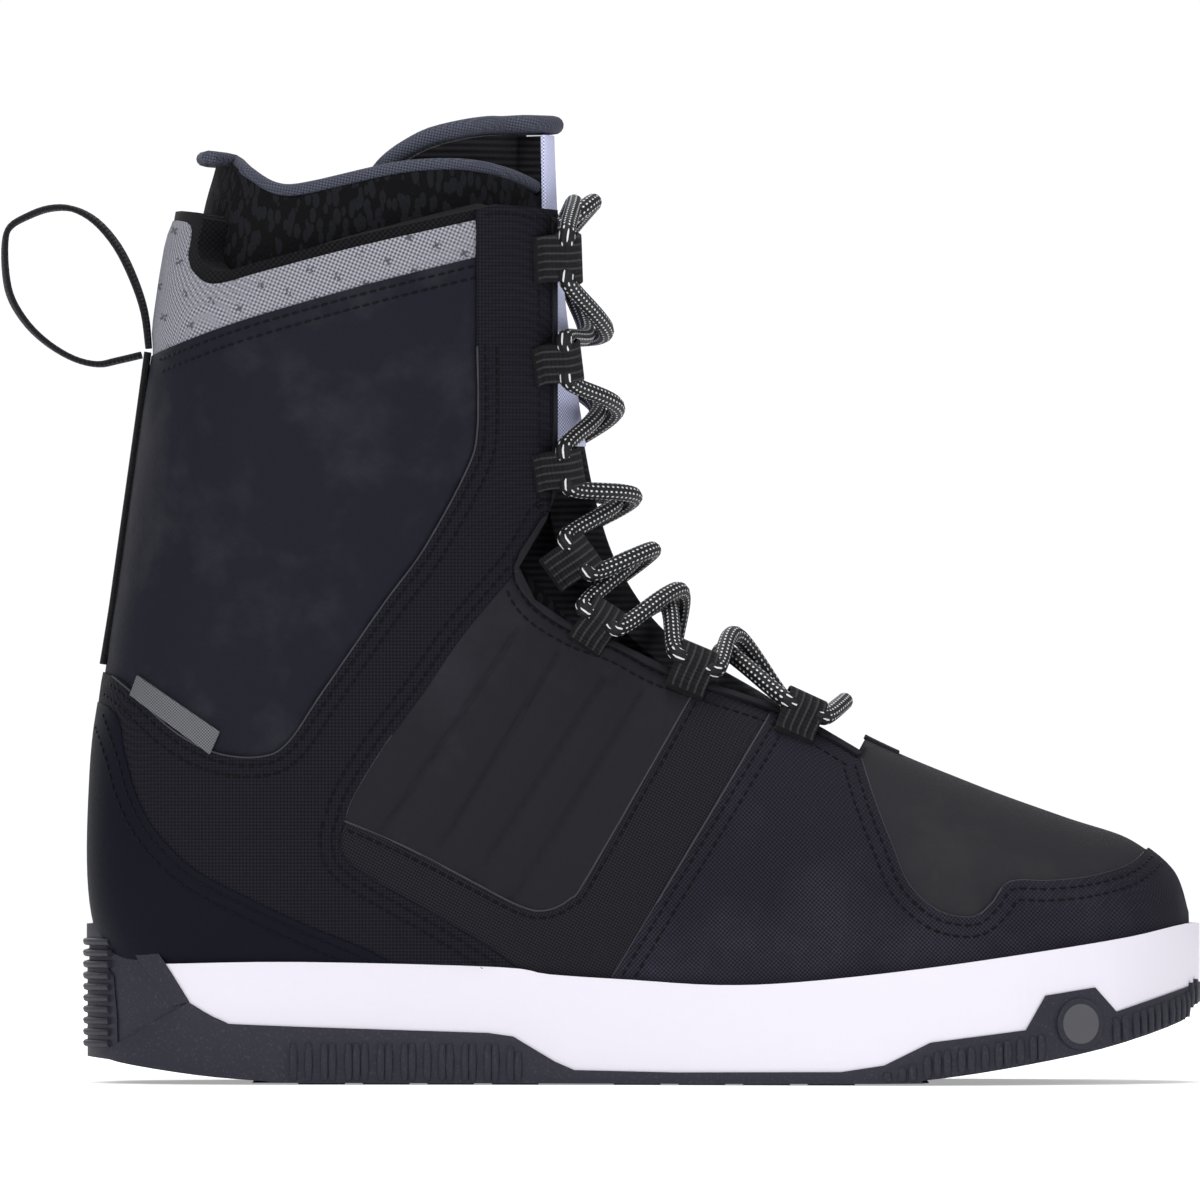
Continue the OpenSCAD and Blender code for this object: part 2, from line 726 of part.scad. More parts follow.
// A point above the middle of the grown last's front line, at a given height.
function front_at(z, g, rise) =
    let (
        f = [for (i = [0 : RINGS]) section(i / 2, g)[0]],
        k = [for (i = [0 : RINGS - 1]) if (f[i][1] <= z && f[i + 1][1] > z) i][0],
        d = f[k + 1] - f[k],
        p = f[k] + d * (z - f[k][1]) / d[1],
        n = unit([d[1], -d[0]])
    )
    [p[0] + n[0] * rise, 0, p[1] + n[1] * rise];
function crossing(z, over) = front_at(z * kz, -tongue_drop, over ? over_rise : under_rise);
// One strand, from its top crossing down to the last loop, starting on one side.
function strand(side) =
    [for (k = [0 : len(LOOPS) - 1])
        let (s = side * (k % 2 == 0 ? 1 : -1), over = (k % 2 == 0) == (side < 0))
        each concat(
            [loop_end(k, 0, s), loop_end(k, 1, s)],
            k < len(CROSS_Z) ? [crossing(CROSS_Z[k], over)] : [])];
// The tail goes in beside the tongue and lies between the shell and the tongue's wing.
TAIL = [[-12, 238], [-23, 229], [-33, 214], [-36, 196]];
tail_g = (lining_in + wing_out) / 2;
function tail(side) =
    concat(
        [crossing(TOP_CROSS_Z, side < 0)],
        [for (k = [0 : len(TAIL) - 1])
            k == 0
                ? [TAIL[k][0] * kx, side * (pad_half + lace_d / 2 + 1.5), TAIL[k][1] * kz]
                : on_last([TAIL[k][0] * kx, TAIL[k][1] * kz], tail_g, side)]);
lace_path = concat(
    reverse(tail(1)), strand(-1),
    [front_at(BAR_Z * kz, 0, under_rise + tape_t)],
    reverse(strand(1)), tail(-1));
// A direction out of the boot, which keeps the cord's rings from twisting.
function hint(p) = unit([p[0] + 70 * kx, p[1], p[2] - 40 * kz]);
module lace() {
    long = 4 * lace_d;
    last = len(lace_path) - 1;
    route = [for (i = [0 : last])
        each [along(lace_path, i),
            if (i < last && norm(lace_path[i + 1] - lace_path[i]) > long)
                along(lace_path, i + 0.5)]];
    color("#202024") swept(route, disk(lace_d, 8), [for (p = route) hint(p)]);
}
aglet_l = 14;
module aglets() {
    color("#2a2a2e")
        for (side = [-1, 1]) {
            t = tail(side);
            n = len(t);
            d = unit(t[n - 1] - t[n - 2]);
            a = t[n - 1] + d * layer_gap;
            swept([a, a + d * aglet_l / 2, a + d * aglet_l], disk(lace_d - 1, 8), [[0, 1, 0]]);
        }
}

// ---- Pull loop ----
PULL_PATH = [[-126.2, 205.4], [-127.4, 215.5], [-130.5, 225], [-135, 234], [-141, 241],
    [-147.5, 244.5], [-154, 244.6], [-160, 242.5], [-165, 239.5], [-166.45, 235],
    [-166.2, 226], [-164.5, 219], [-160, 212], [-154, 206.5], [-147, 202.5], [-140.5, 201],
    [-135, 202], [-128.2, 203.6]];
module pull_loop() {
    w = pull_w / 2;
    t = pull_t / 2;
    color("#0e0e12")
        swept([for (p = sized(smooth(PULL_PATH, 2))) [p[0], 0, p[1]]],
            [[w, t], [-w, t], [-w, -t], [w, -t]], [[0, 1, 0]]);
}

outsole();
tread_lugs();
midsole();
heel_cup();
disc(-1);  // disc_lateral
disc(1);  // disc_medial
shank();
heel_cushion();
lasting_board();
footbed();
toe_panel();
vamp();
quarter(-1);  // quarter_lateral
quarter(1);  // quarter_medial
midfoot_panel(-1);  // midfoot_panel_lateral
midfoot_panel(1);  // midfoot_panel_medial
strap_overlay(-1);  // strap_overlay_lateral
strap_overlay(1);  // strap_overlay_medial
heel_counter();
ankle_panel(-1);  // ankle_panel_lateral
ankle_panel(1);  // ankle_panel_medial
collar_mesh();
collar_binding();
eyestay(-1);  // eyestay_lateral
eyestay(1);  // eyestay_medial
back_strip();
rear_label();
throat_patch();
shell_lining(-1);  // shell_lining_lateral
shell_lining(1);  // shell_lining_medial
heel_stiffener();
toe_puff();
liner();
liner_binding();
tongue();
tongue_face();
tongue_binding();
lace_loops(-1);  // lace_loops_lateral
lace_loops(1);  // lace_loops_medial
lace();
aglets();
pull_loop();
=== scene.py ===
"""A laced snowboard boot, built round its CAD frame as a Blender add-on."""

import math

import bmesh
import bpy
import numpy as np
from bpy.props import FloatProperty, FloatVectorProperty, PointerProperty
from mathutils import Matrix, Vector
from mathutils.bvhtree import BVHTree


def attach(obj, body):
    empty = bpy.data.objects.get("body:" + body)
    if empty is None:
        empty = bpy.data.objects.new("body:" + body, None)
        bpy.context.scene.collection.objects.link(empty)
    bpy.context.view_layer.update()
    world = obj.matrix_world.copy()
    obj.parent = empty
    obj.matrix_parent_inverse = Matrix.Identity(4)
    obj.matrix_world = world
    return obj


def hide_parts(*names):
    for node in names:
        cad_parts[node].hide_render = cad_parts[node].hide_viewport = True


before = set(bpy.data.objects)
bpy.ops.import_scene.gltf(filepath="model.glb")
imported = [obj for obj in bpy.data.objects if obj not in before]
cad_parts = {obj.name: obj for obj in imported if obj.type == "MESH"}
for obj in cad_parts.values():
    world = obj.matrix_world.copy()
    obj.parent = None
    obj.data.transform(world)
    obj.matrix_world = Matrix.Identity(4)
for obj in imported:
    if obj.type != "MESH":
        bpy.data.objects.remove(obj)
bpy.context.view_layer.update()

bl_info = {
    "name": "Laced snowboard boot",
    "version": (1, 0, 0),
    "blender": (4, 5, 0),
    "location": "View3D > Sidebar > Boot",
    "description": "Builds the detailed pieces of a laced snowboard boot",
    "category": "Object",
}

MM = 0.001
BOOT, TONGUE, PULL = "boot", "tongue", "pull_loop"
HUGE = 400


class BootSizes(bpy.types.PropertyGroup):
    """Sizes that a maker would change."""

    stitch_pitch: FloatProperty(
        name="Stitch pitch", description="Distance from stitch to stitch, in mm", default=2.7
    )
    thread_d: FloatProperty(
        name="Thread", description="Diameter of the sewing thread, in mm", default=0.62
    )
    lace_d: FloatProperty(
        name="Lace", description="Diameter of the round lace, in mm", default=4.8
    )
    rib_pitch: FloatProperty(
        name="Rib pitch", description="Distance between the sole's ribs, in mm", default=3.3
    )
    puff: FloatProperty(
        name="Padding", description="How far the padded panels swell, in mm", default=1.3
    )


def colour_prop(name, text, default):
    """A colour that shows in the panel."""
    return FloatVectorProperty(
        name=name, description=text, subtype="COLOR", size=3, min=0, max=1, default=default
    )


class BootColours(bpy.types.PropertyGroup):
    """Colours that a maker would change, as linear values."""

    nubuck: colour_prop("Nubuck", "Ankle panels", (0.0075, 0.0080, 0.0140))
    weave: colour_prop("Weave", "Woven overlays", (0.0070, 0.0066, 0.0105))
    vamp: colour_prop("Vamp", "Woven vamp", (0.0110, 0.0102, 0.0165))
    toe: colour_prop("Toe", "Toe nubuck", (0.0175, 0.0170, 0.0205))
    counter: colour_prop("Counter", "Heel counter", (0.0035, 0.0040, 0.0085))
    midfoot: colour_prop("Midfoot", "Ribbed midfoot panels", (0.0095, 0.0095, 0.0125))
    foam: colour_prop("Foam", "Midsole", (0.665, 0.638, 0.705))
    rubber: colour_prop("Rubber", "Outsole", (0.0190, 0.0185, 0.0280))
    knit: colour_prop("Knit", "Collar mesh", (0.205, 0.205, 0.235))
    piping: colour_prop("Piping", "Piping of the liner and tongue", (0.046, 0.050, 0.070))
    face: colour_prop("Face", "White face of the tongue", (0.56, 0.58, 0.80))
    black: colour_prop("Black", "Webbing, linings and lace", (0.0055, 0.0055, 0.0065))


# ---- The last: rows from the toe tip round the heel and up to the cuff ----
ROWS = np.array([
    [164, 47, 164, 36, 8, 7],
    [160, 58.5, 160, 28, 25, 7],
    [149, 67.5, 149, 24.5, 38.5, 6],
    [130, 74, 130, 21, 48, 4.5],
    [104, 83.5, 104, 18, 53, 2.5],
    [74, 96.5, 72, 15.5, 53.5, 0.5],
    [45, 114.5, 35, 15, 49, -1.5],
    [21, 131, -8, 17.5, 45, -2],
    [9, 150, -60, 21, 43.5, -1],
    [4.5, 168, -118, 23.5, 43, 0],
    [2, 183, -139.5, 42, 44, 0],
    [0, 200, -141.5, 88, 47, 0],
    [-2, 220, -134.5, 138, 52, 0],
    [-3.5, 240, -127.5, 187, 57, 0],
    [-4, 256, -121.5, 230, 60, 0],
    [-4.5, 276, -115, 268, 61, 0],
])
FOOT_SHARE = 0.55
FRONT_WALL = [(6, FOOT_SHARE), (9, 0.9), (12, 1)]
REAR_WALL = [(9, FOOT_SHARE), (13, 1)]
NOSE = [(0, 1), (1, 0.85), (2, 0.48), (3, 0.15), (4, 0)]
WIDEST = [(0, 0.45), (3, 0.36), (7, 0.36), (9, 0.45), (12, 0.5)]
TOP_POWER = [(0, 2.2), (4, 2.2), (6, 2.05), (9, 2.1), (12, 2.3)]
BOTTOM_POWER = [(0, 2.6), (3, 4), (9, 4), (12, 2.4)]
LINER_OUT, LINER_T = -9.8, 6.2
WING_OUT, WING_T, WING_TUCK = -16.3, 2.7, 0.9
TONGUE_DROP = 8.5


def lookup(s, table):
    """A value of a table at a row of the last."""
    return float(np.interp(s, [t[0] for t in table], [t[1] for t in table]))


def pick(rows, i):
    """A row of the table, held to its ends."""
    return rows[max(0, min(len(rows) - 1, i))]


def catmull(a, b, c, d, t):
    """A Catmull-Rom curve from b to c."""
    return 0.5 * (
        2 * b + (c - a) * t + (2 * a - 5 * b + 4 * c - d) * t * t
        + (3 * b - a - 3 * c + d) * t ** 3
    )


def along(rows, s):
    """A smooth value at a fractional row."""
    i = int(math.floor(s))
    return catmull(*(pick(rows, i + k) for k in (-1, 0, 1, 2)), s - i)


def smooth(points, steps=6):
    """An open outline as a smooth line through its points."""
    rows = np.array(points, float)
    return [tuple(along(rows, i / steps)) for i in range(steps * (len(rows) - 1) + 1)]


def closed(points, steps=6):
    """A closed outline as a smooth line through its points."""
    rows = np.array(points, float)
    n = len(rows)
    return [
        tuple(catmull(*(rows[(i // steps + k) % n] for k in (-1, 0, 1, 2)), i % steps / steps))
        for i in range(steps * n)
    ]


def section(s, g):
    """Front point, rear point, half width and sideways shift of the last grown by g."""
    r = along(ROWS, s)
    front, rear = r[:2], r[2:4]
    up = (front - rear) / np.linalg.norm(front - rear)
    g_front = g if g > 0 else g * lookup(s, FRONT_WALL)
    g_rear = g if g > 0 else g * lookup(s, REAR_WALL)
    nose = np.array([g_front * lookup(s, NOSE), 0])
    return (
        front + up * g_front + nose,
        rear - up * g_rear + nose,
        r[4] + (g_front + g_rear) / 2,
        r[5],
    )


def ring(s, g, sides):
    """One cross-section of the last grown by g."""
    front, rear, half, shift = section(s, g)
    m = lookup(s, WIDEST)
    top, low = 2 / lookup(s, TOP_POWER), 2 / lookup(s, BOTTOM_POWER)
    points = []
    for k in range(sides):
        a = 2 * math.pi * (k + 0.5) / sides
        c, n = math.cos(a), math.sin(a)
        e = top if c >= 0 else low
        f = m + (1 - m) * c ** e if c >= 0 else m - m * (-c) ** e
        p = rear + (front - rear) * f
        points.append((p[0], shift + half * math.copysign(abs(n) ** e, n), p[1]))
    return points


def row_of(p, g):
    """The fractional row of the grown last that passes a point of the side view."""
    last = None
    for i in range(2 * (len(ROWS) - 1) + 1):
        front, rear, _, _ = section(i / 2, g)
        h, q = front - rear, p - rear
        d, share = h[0] * q[1] - h[1] * q[0], q @ h / (h @ h)
        if last and last[0] * d <= 0 and abs((share + last[1]) / 2 - 0.5) < 0.6:
            return (i - 1 + last[0] / (last[0] - d)) / 2
        last = (d, share)
    raise RuntimeError(f"no row of the last passes {p}")


def on_last(p, g, side):
    """The point of the grown last at a point of the side view, on one side of it."""
    p = np.array(p, float)
    s = row_of(p, g)
    front, rear, half, shift = section(s, g)
    h = front - rear
    f = (p - rear) @ h / (h @ h)
    m = lookup(s, WIDEST)
    e = lookup(s, TOP_POWER if f >= m else BOTTOM_POWER)
    v = min(1, (f - m) / (1 - m) if f >= m else (m - f) / m)
    return np.array([p[0], shift + side * half * (1 - v ** e) ** (1 / e), p[1]])


# ---- Outlines in the side view: points (x, z) in mm ----
THROAT = [(-11.6, 300), (-11.6, 166), (-15, 157), (-22.5, 144), (-18, 135), (-7, 127.5),
          (5, 123), (20, 115.5), (49, 106), (62, 99.5), (73, 93)]
THROAT_FRONT = [(77, 101), (110, 140), (60, 300)]
STRAP_FRONT = [(-22.5, 144), (-38, 125.5), (-49, 109.5), (-60, 94.5), (-68.5, 80.5),
               (-71, 73.5)]
STRAP_LOW = [(-71, 73.5), (-72.3, 67), (-68, 60), (-44, 46), (-26.5, 35), (-8, 20)]
COUNTER_EDGE = [(-160, 110), (-137, 105), (-132.5, 92), (-129.5, 81.5), (-124, 71),
                (-113, 60), (-97, 51.5), (-81, 44), (-60, 35), (-40, 20)]
ANKLE_LOW = [(-160, 122), (-136, 113.7), (-129.5, 108.5), (-118.5, 98.5), (-107, 92.5),
             (-95, 91.3), (-87, 95), (-77, 109.5), (-60, 134), (-49, 149), (-37.5, 170),
             (-34, 182), (-34, 206), (-34, 231)]
ANKLE_TOP = [(-34, 230.3), (-60.5, 223.7), (-82, 217.8), (-103.5, 211.4), (-124, 203.8),
             (-150, 193)]
RIB_EDGE = [(-71, 73.5), (-54.5, 66.5), (-38, 58), (-22.5, 50), (-15, 48.6), (-8, 52),
            (-2.4, 59.6), (29, 114.2)]
VAMP_SEAM = [(-2.4, 20), (49, 106), (58, 121)]
TOE_LINE = [(70, 108), (73, 91), (76.5, 79.5), (81.5, 66.5), (86, 56), (94, 48.7),
            (103.5, 46.8), (109, 50.5), (114, 56.5), (125.5, 56.8), (137, 58), (148.5, 61.5),
            (156, 68), (162, 78)]
LASTING = [(-170, 30), (-121, 31), (-84, 33.2), (-28, 31.8), (-14, 29.8), (9, 28.3),
           (33, 26.9), (56, 27.8), (90, 31.5), (125, 36.5), (148, 40.2), (163.7, 43), (190, 43)]
COLLAR_TOP = [(-30, 241.6), (-66, 233.5), (-93, 226.5), (-107, 223), (-113, 226),
              (-115, 231), (-115.5, 240.5), (-135, 240)]
BINDING_TOP = [(-30, 244.5), (-66, 236.5), (-93, 229.5), (-105, 226.5), (-110.5, 229),
               (-112, 234), (-112, 243), (-135, 243)]
LINER_TOP = [(-8, 239), (-16, 246.7), (-25, 252), (-39, 254.5), (-55, 253.5), (-71.5, 250),
             (-86, 247), (-94, 249.5), (-102, 256), (-110, 258), (-135, 258)]
TONGUE_TOP = [(-2, 264.5), (-18, 265.2), (-34, 264), (-47, 260.7), (-56, 255.5),
              (-62.5, 249), (-66, 238)]
TONGUE_REAR = [(-66, 238), (-62, 200), (-50, 170), (-30, 140), (-5, 116), (25, 100),
               (52, 88), (72, 79)]
SHAFT_TOP = [(-34, 243.6), (-28, 245), (-11.6, 243)]
GROOVES = [((-22.5, 127.3), (-61, 70)), ((-11, 121), (-46, 64)), ((1.7, 114), (-35, 57)),
           ((12.3, 109.5), (-24, 52))]
SOLE_PLAN = [(-142.4, 0), (-138, -20), (-124, -34), (-100, -40), (-50, -42), (0, -46.5),
             (45, -53), (80, -56.5), (112, -54.5), (138, -45), (156, -28), (166.5, -6),
             (165.5, 18), (153, 38), (132, 50), (100, 56), (70, 55.5), (35, 49), (0, 43),
             (-40, 40.5), (-80, 40), (-110, 38.5), (-132, 29)]
SOLE_JOINT = [(-114.5, 23), (-105, 17.8), (-95, 16.6), (-31, 14.5), (-24, 13.5),
              (-12.5, 6.6), (-7, 4.2), (21, 3.6), (67, 3.8), (79, 5.6), (92, 12),
              (118.5, 15.4), (124, 25), (138, 27.2), (144, 20.4), (166, 27.5), (190, 34)]
SOLE_BASE = [(-139.9, 8.4), (-134, 6), (-112, 2.6), (-92, 0.9), (-84, 0.5), (76, 0.5),
             (90, 1.4), (112, 4.5), (140, 10.1), (162.5, 17.4), (166, 21.6), (190, 32)]
MIDSOLE_TOP = [(-121, 33.6), (-84, 34.2), (-28, 32.8), (-14, 30.8), (9, 29.3), (33, 27.9),
               (56, 28.8), (90, 32.5), (125, 37.5), (148, 41.2), (163.7, 44.5), (172, 44)]
CUP_TOP = [(-150, 40), (-142, 44), (-132, 44), (-126, 39.8), (-121, 33.6)]


# ---- Mesh helpers ----
def only(o):
    """Selects one object alone and makes it active."""
    for other in bpy.context.selected_objects:
        other.select_set(False)
    o.select_set(True)
    bpy.context.view_layer.objects.active = o


def joined(objects):
    """The objects as one object."""
    only(objects[0])
    for o in objects[1:]:
        o.select_set(True)
    bpy.ops.object.join()
    return objects[0]


def edit(o, *steps):
    """Runs edit-mode steps on the whole mesh."""
    only(o)
    bpy.ops.object.mode_set(mode="EDIT")
    bpy.ops.mesh.select_all(action="SELECT")
    for step in steps:
        step()
    bpy.ops.object.mode_set(mode="OBJECT")


def outward():
    """Turns all faces outwards."""
    bpy.ops.mesh.normals_make_consistent(inside=False)


def modify(o, kind, **settings):
    """Adds a modifier and applies it."""
    only(o)
    m = o.modifiers.new(kind.title(), kind)
    for key, value in settings.items():
        setattr(m, key, value)
    bpy.ops.object.modifier_apply(modifier=m.name)


def soften(o, angle=40):
    """Shades smooth below an angle in degrees."""
    only(o)
    bpy.ops.object.shade_smooth_by_angle(angle=math.radians(angle))


def new_mesh(name, points, faces):
    """A mesh object from points in millimetres."""
    mesh = bpy.data.meshes.new(name)
    mesh.from_pydata([tuple(c * MM for c in p) for p in points], [], faces)
    o = bpy.data.objects.new(name, mesh)
    bpy.context.collection.objects.link(o)
    return o


def marks(o, cut):
    """Two plain slots tell a cut face from one of the surface."""
    for name in ("surface", "cut"):
        o.data.materials.append(bpy.data.materials.get(name) or bpy.data.materials.new(name))
    for face in o.data.polygons:
        face.material_index = 1 if cut else 0


def prism(points, low=-HUGE / 2, high=HUGE / 2, plan=False):
    """A cutter: an outline of the side view, or of the plan, run straight through."""
    n = len(points)
    place = (lambda p, t: (p[0], p[1], t)) if plan else (lambda p, t: (p[0], t, p[1]))
    o = new_mesh(
        "cutter",
        [place(p, low) for p in points] + [place(p, high) for p in points],
        [list(range(n)), list(range(n, 2 * n))]
        + [[k, (k + 1) % n, n + (k + 1) % n, n + k] for k in range(n)],
    )
    edit(o, outward)
    marks(o, True)
    return o


def cut(o, cutter, operation="INTERSECT"):
    """Cuts with a cutter and removes it."""
    modify(o, "BOOLEAN", object=cutter, operation=operation, solver="MANIFOLD",
           material_mode="INDEX")
    bpy.data.objects.remove(cutter)


def drop_cuts(o, side=0):
    """Leaves the open sheet of the surface, on one side of the boot or on both."""
    b = bmesh.new()
    b.from_mesh(o.data)
    bmesh.ops.delete(b, geom=[f for f in b.faces if f.material_index == 1], context="FACES")
    if side:
        bmesh.ops.bisect_plane(
            b, geom=b.verts[:] + b.edges[:] + b.faces[:], plane_co=(0, side * 0.15 * MM, 0),
            plane_no=(0, side, 0), clear_inner=True)
    bmesh.ops.delete(b, geom=[v for v in b.verts if not v.link_faces], context="VERTS")
    b.to_mesh(o.data)
    b.free()


SHELLS = {}
RING_STEPS = 12
SHELL_SIDES = 104


def full_last(g, tuck=1.0):
    """The whole last grown by g, narrowed by tuck."""
    rings = []
    for i in range(RING_STEPS * (len(ROWS) - 1) + 1):
        s = i / RING_STEPS
        front, rear, half, _ = section(s, g)
        if half > 4 and np.linalg.norm(front - rear) > 5:
            rings.append([(x, y * tuck, z) for x, y, z in ring(s, g, SHELL_SIDES)])
    n, m = SHELL_SIDES, len(rings)
    o = new_mesh(
        "last", [p for r in rings for p in r],
        [list(range(n)), list(range((m - 1) * n, m * n))]
        + [[i * n + k, i * n + (k + 1) % n, (i + 1) * n + (k + 1) % n, (i + 1) * n + k]
           for i in range(m - 1) for k in range(n)])
    edit(o, outward)
    marks(o, False)
    o.data.polygons[1].material_index = 1
    return o


def shell(g):
    """A copy of the grown last, already open at the throat and along the sole."""
    if g not in SHELLS:
        o = full_last(g)
        cut(o, prism(THROAT + THROAT_FRONT), "DIFFERENCE")
        cut(o, prism(LASTING + [(190, -60), (-170, -60)]), "DIFFERENCE")
        SHELLS[g] = o
    o = SHELLS[g].copy()
    o.data = o.data.copy()
    bpy.context.collection.objects.link(o)
    return o


def drop_shells():
    """Removes the shells kept for copying."""
    for o in SHELLS.values():
        bpy.data.objects.remove(o)
    SHELLS.clear()


def distance_to(points, lines):
    """Distance in the side view, in mm, from each vertex to the nearest of the lines."""
    best = np.full(len(points), 1e9)
    for line in lines:
        for a, b in zip(line[:-1], line[1:]):
            a, b = np.array(a, float), np.array(b, float)
            d = b - a
            t = np.clip((points - a) @ d / max(d @ d, 1e-9), 0, 1)
            best = np.minimum(best, np.linalg.norm(points - a - t[:, None] * d, axis=1))
    return best


def vertex_arrays(o):
    """Places and normals of the vertices."""
    n = len(o.data.vertices)
    co, no = np.empty(3 * n), np.empty(3 * n)
    o.data.vertices.foreach_get("co", co)
    o.data.vertices.foreach_get("normal", no)
    return co.reshape(-1, 3), no.reshape(-1, 3)


def push(o, amount):
    """Moves each vertex along its normal by an amount in mm."""
    co, no = vertex_arrays(o)
    o.data.vertices.foreach_set("co", (co + no * amount[:, None] * MM).ravel())
    o.data.update()


def flat(o):
    """The vertices in the side view, in mm."""
    co, _ = vertex_arrays(o)
    return co[:, [0, 2]] / MM


def thicken(o, thick, bevel=0.3, segments=2):
    """Gives a sheet its wall inwards, with rounded edges."""
    modify(o, "SOLIDIFY", thickness=thick * MM, offset=-1)
    if bevel:
        modify(o, "BEVEL", width=bevel * MM, segments=segments, limit_method="ANGLE",
               angle_limit=math.radians(55))
    soften(o)


def dress(o, name, material, nodes, body=BOOT):
    """Names a finished piece, gives it its material and tells the frame about it."""
    o.name = name
    o.data.name = name
    o.data.materials.clear()
    o.data.materials.append(material)
    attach(o, body)
    if nodes:
        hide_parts(*nodes)
    return o


SKINS = []


def panel(name, outline, lift, thick, material, nodes, side=0, puff=0.0, roll=5.0,
          shape=None):
    """One sewn panel: a puffed sheet of the shell inside an outline, with its wall."""
    o = shell(lift)
    cut(o, prism(outline))
    drop_cuts(o, side)
    if shape:
        shape(o)
    if puff:
        near = distance_to(flat(o), [outline + outline[:1], THROAT])
        push(o, puff * (1 - np.exp(-(near / roll) ** 2)))
    thicken(o, thick)
    SKINS.append(o)
    return dress(o, name, material, nodes)


def tube(path, radius, sides=12, name="tube", square=None, caps=True):
    """A closed tube along a path in mm, with a UV map: round it, and along it in metres."""
    pts = [np.array(p, float) for p in path]
    m = len(pts)
    tangent = [pts[min(i + 1, m - 1)] - pts[max(i - 1, 0)] for i in range(m)]
    tangent = [t / np.linalg.norm(t) for t in tangent]
    up = np.cross(tangent[0], (0.3, 0.9, 0.2))
    verts, lengths, total = [], [], 0.0
    for i in range(m):
        if i:
            total += np.linalg.norm(pts[i] - pts[i - 1])
        up = up - tangent[i] * (up @ tangent[i])
        up /= np.linalg.norm(up)
        across = np.cross(tangent[i], up)
        lengths.append(total)
        shape = square or [
            (radius * math.cos(2 * math.pi * k / sides), radius * math.sin(2 * math.pi * k / sides))
            for k in range(sides)]
        verts += [pts[i] + up * a + across * b for a, b in shape]
    n = len(square) if square else sides
    faces = [[i * n + k, i * n + (k + 1) % n, (i + 1) * n + (k + 1) % n, (i + 1) * n + k]
             for i in range(m - 1) for k in range(n)]
    spots = [(i, k) for i in range(m - 1) for k in range(n)]
    if caps:
        faces += [list(range(n - 1, -1, -1)), list(range((m - 1) * n, m * n))]
    o = new_mesh(name, verts, faces)
    layer = o.data.uv_layers.new(name="along")
    for face, (i, k) in zip(o.data.polygons, spots):
        corners = [(k, i), (k + 1, i), (k + 1, i + 1), (k, i + 1)]
        for loop, (u, v) in zip(face.loop_indices, corners):
            layer.data[loop].uv = (u / n, lengths[v] * MM)
    edit(o, outward)
    soften(o, 60)
    return o


def band(path, sides_at, width, thick, name="band"):
    """Webbing along a path in mm: a flat band, rounded at its edges."""
    w, t = width / 2, thick / 2
    shape = [(t, -w + t), (t, 0), (t, w - t), (0.6 * t, w - 0.3 * t), (0, w), (-0.6 * t, w - 0.3 * t),
             (-t, w - t), (-t, 0), (-t, -w + t), (-0.6 * t, -w + 0.3 * t), (0, -w),
             (0.6 * t, -w + 0.3 * t)]
    pts = [np.array(p, float) for p in path]
    m, n = len(pts), len(shape)
    verts, faces, total, lengths = [], [], 0.0, []
    for i in range(m):
        if i:
            total += np.linalg.norm(pts[i] - pts[i - 1])
        lengths.append(total)
        along_it = pts[min(i + 1, m - 1)] - pts[max(i - 1, 0)]
        along_it /= np.linalg.norm(along_it)
        side = np.array(sides_at[i], float)
        side -= along_it * (side @ along_it)
        side /= np.linalg.norm(side)
        normal = np.cross(side, along_it)
        verts += [pts[i] + normal * a + side * b for a, b in shape]
    faces = [[i * n + k, i * n + (k + 1) % n, (i + 1) * n + (k + 1) % n, (i + 1) * n + k]
             for i in range(m - 1) for k in range(n)]
    o = new_mesh(name, verts, faces + [list(range(n - 1, -1, -1)),
                                       list(range((m - 1) * n, m * n))])
    layer = o.data.uv_layers.new(name="along")
    for index, face in enumerate(o.data.polygons):
        if index < len(faces):
            i, k = divmod(index, n)
            corners = [(k, i), ((k + 1) % n, i), ((k + 1) % n, i + 1), (k, i + 1)]
            for loop, (u, v) in zip(face.loop_indices, corners):
                layer.data[loop].uv = (shape[u][1] * MM, lengths[v] * MM)
    edit(o, outward)
    soften(o, 50)
    return o


# ---- Materials ----
class Nodes:
    """Short names for building a node tree."""

    def __init__(self, tree):
        self.tree = tree

    def add(self, kind, settings=None, **inputs):
        node = self.tree.nodes.new(kind)
        for key, value in (settings or {}).items():
            setattr(node, key, value)
        for key, value in inputs.items():
            self.put(node.inputs[key.replace("_", " ")], value)
        return node

    def put(self, socket, value):
        if isinstance(value, bpy.types.NodeSocket):
            self.tree.links.new(value, socket)
        else:
            socket.default_value = value

    def math(self, operation, *values):
        node = self.tree.nodes.new("ShaderNodeMath")
        node.operation = operation
        for socket, value in zip(node.inputs, values):
            self.put(socket, value)
        return node.outputs[0]

    def ramp(self, value, stops):
        node = self.tree.nodes.new("ShaderNodeValToRGB")
        self.put(node.inputs[0], value)
        ramp = node.color_ramp
        while len(ramp.elements) < len(stops):
            ramp.elements.new(0.5)
        for element, (place, colour) in zip(ramp.elements, stops):
            element.position = place
            element.color = colour if len(colour) == 4 else (*colour, 1)
        return node.outputs[0]

    def mix(self, factor, a, b):
        node = self.tree.nodes.new("ShaderNodeMix")
        node.data_type = "RGBA"
        self.put(node.inputs[0], factor)
        self.put(node.inputs[6], a)
        self.put(node.inputs[7], b)
        return node.outputs[2]


def group(name, inputs, outputs, build):
    """A shader node group."""
    tree = bpy.data.node_groups.new(name, "ShaderNodeTree")
    for label, kind, default in inputs:
        socket = tree.interface.new_socket(label, in_out="INPUT", socket_type=kind)
        if default is not None:
            socket.default_value = default
    for label, kind in outputs:
        tree.interface.new_socket(label, in_out="OUTPUT", socket_type=kind)
    n = Nodes(tree)
    source = tree.nodes.new("NodeGroupInput")
    sink = tree.nodes.new("NodeGroupOutput")
    for label, value in build(n, source.outputs).items():
        n.put(sink.inputs[label], value)
    return tree


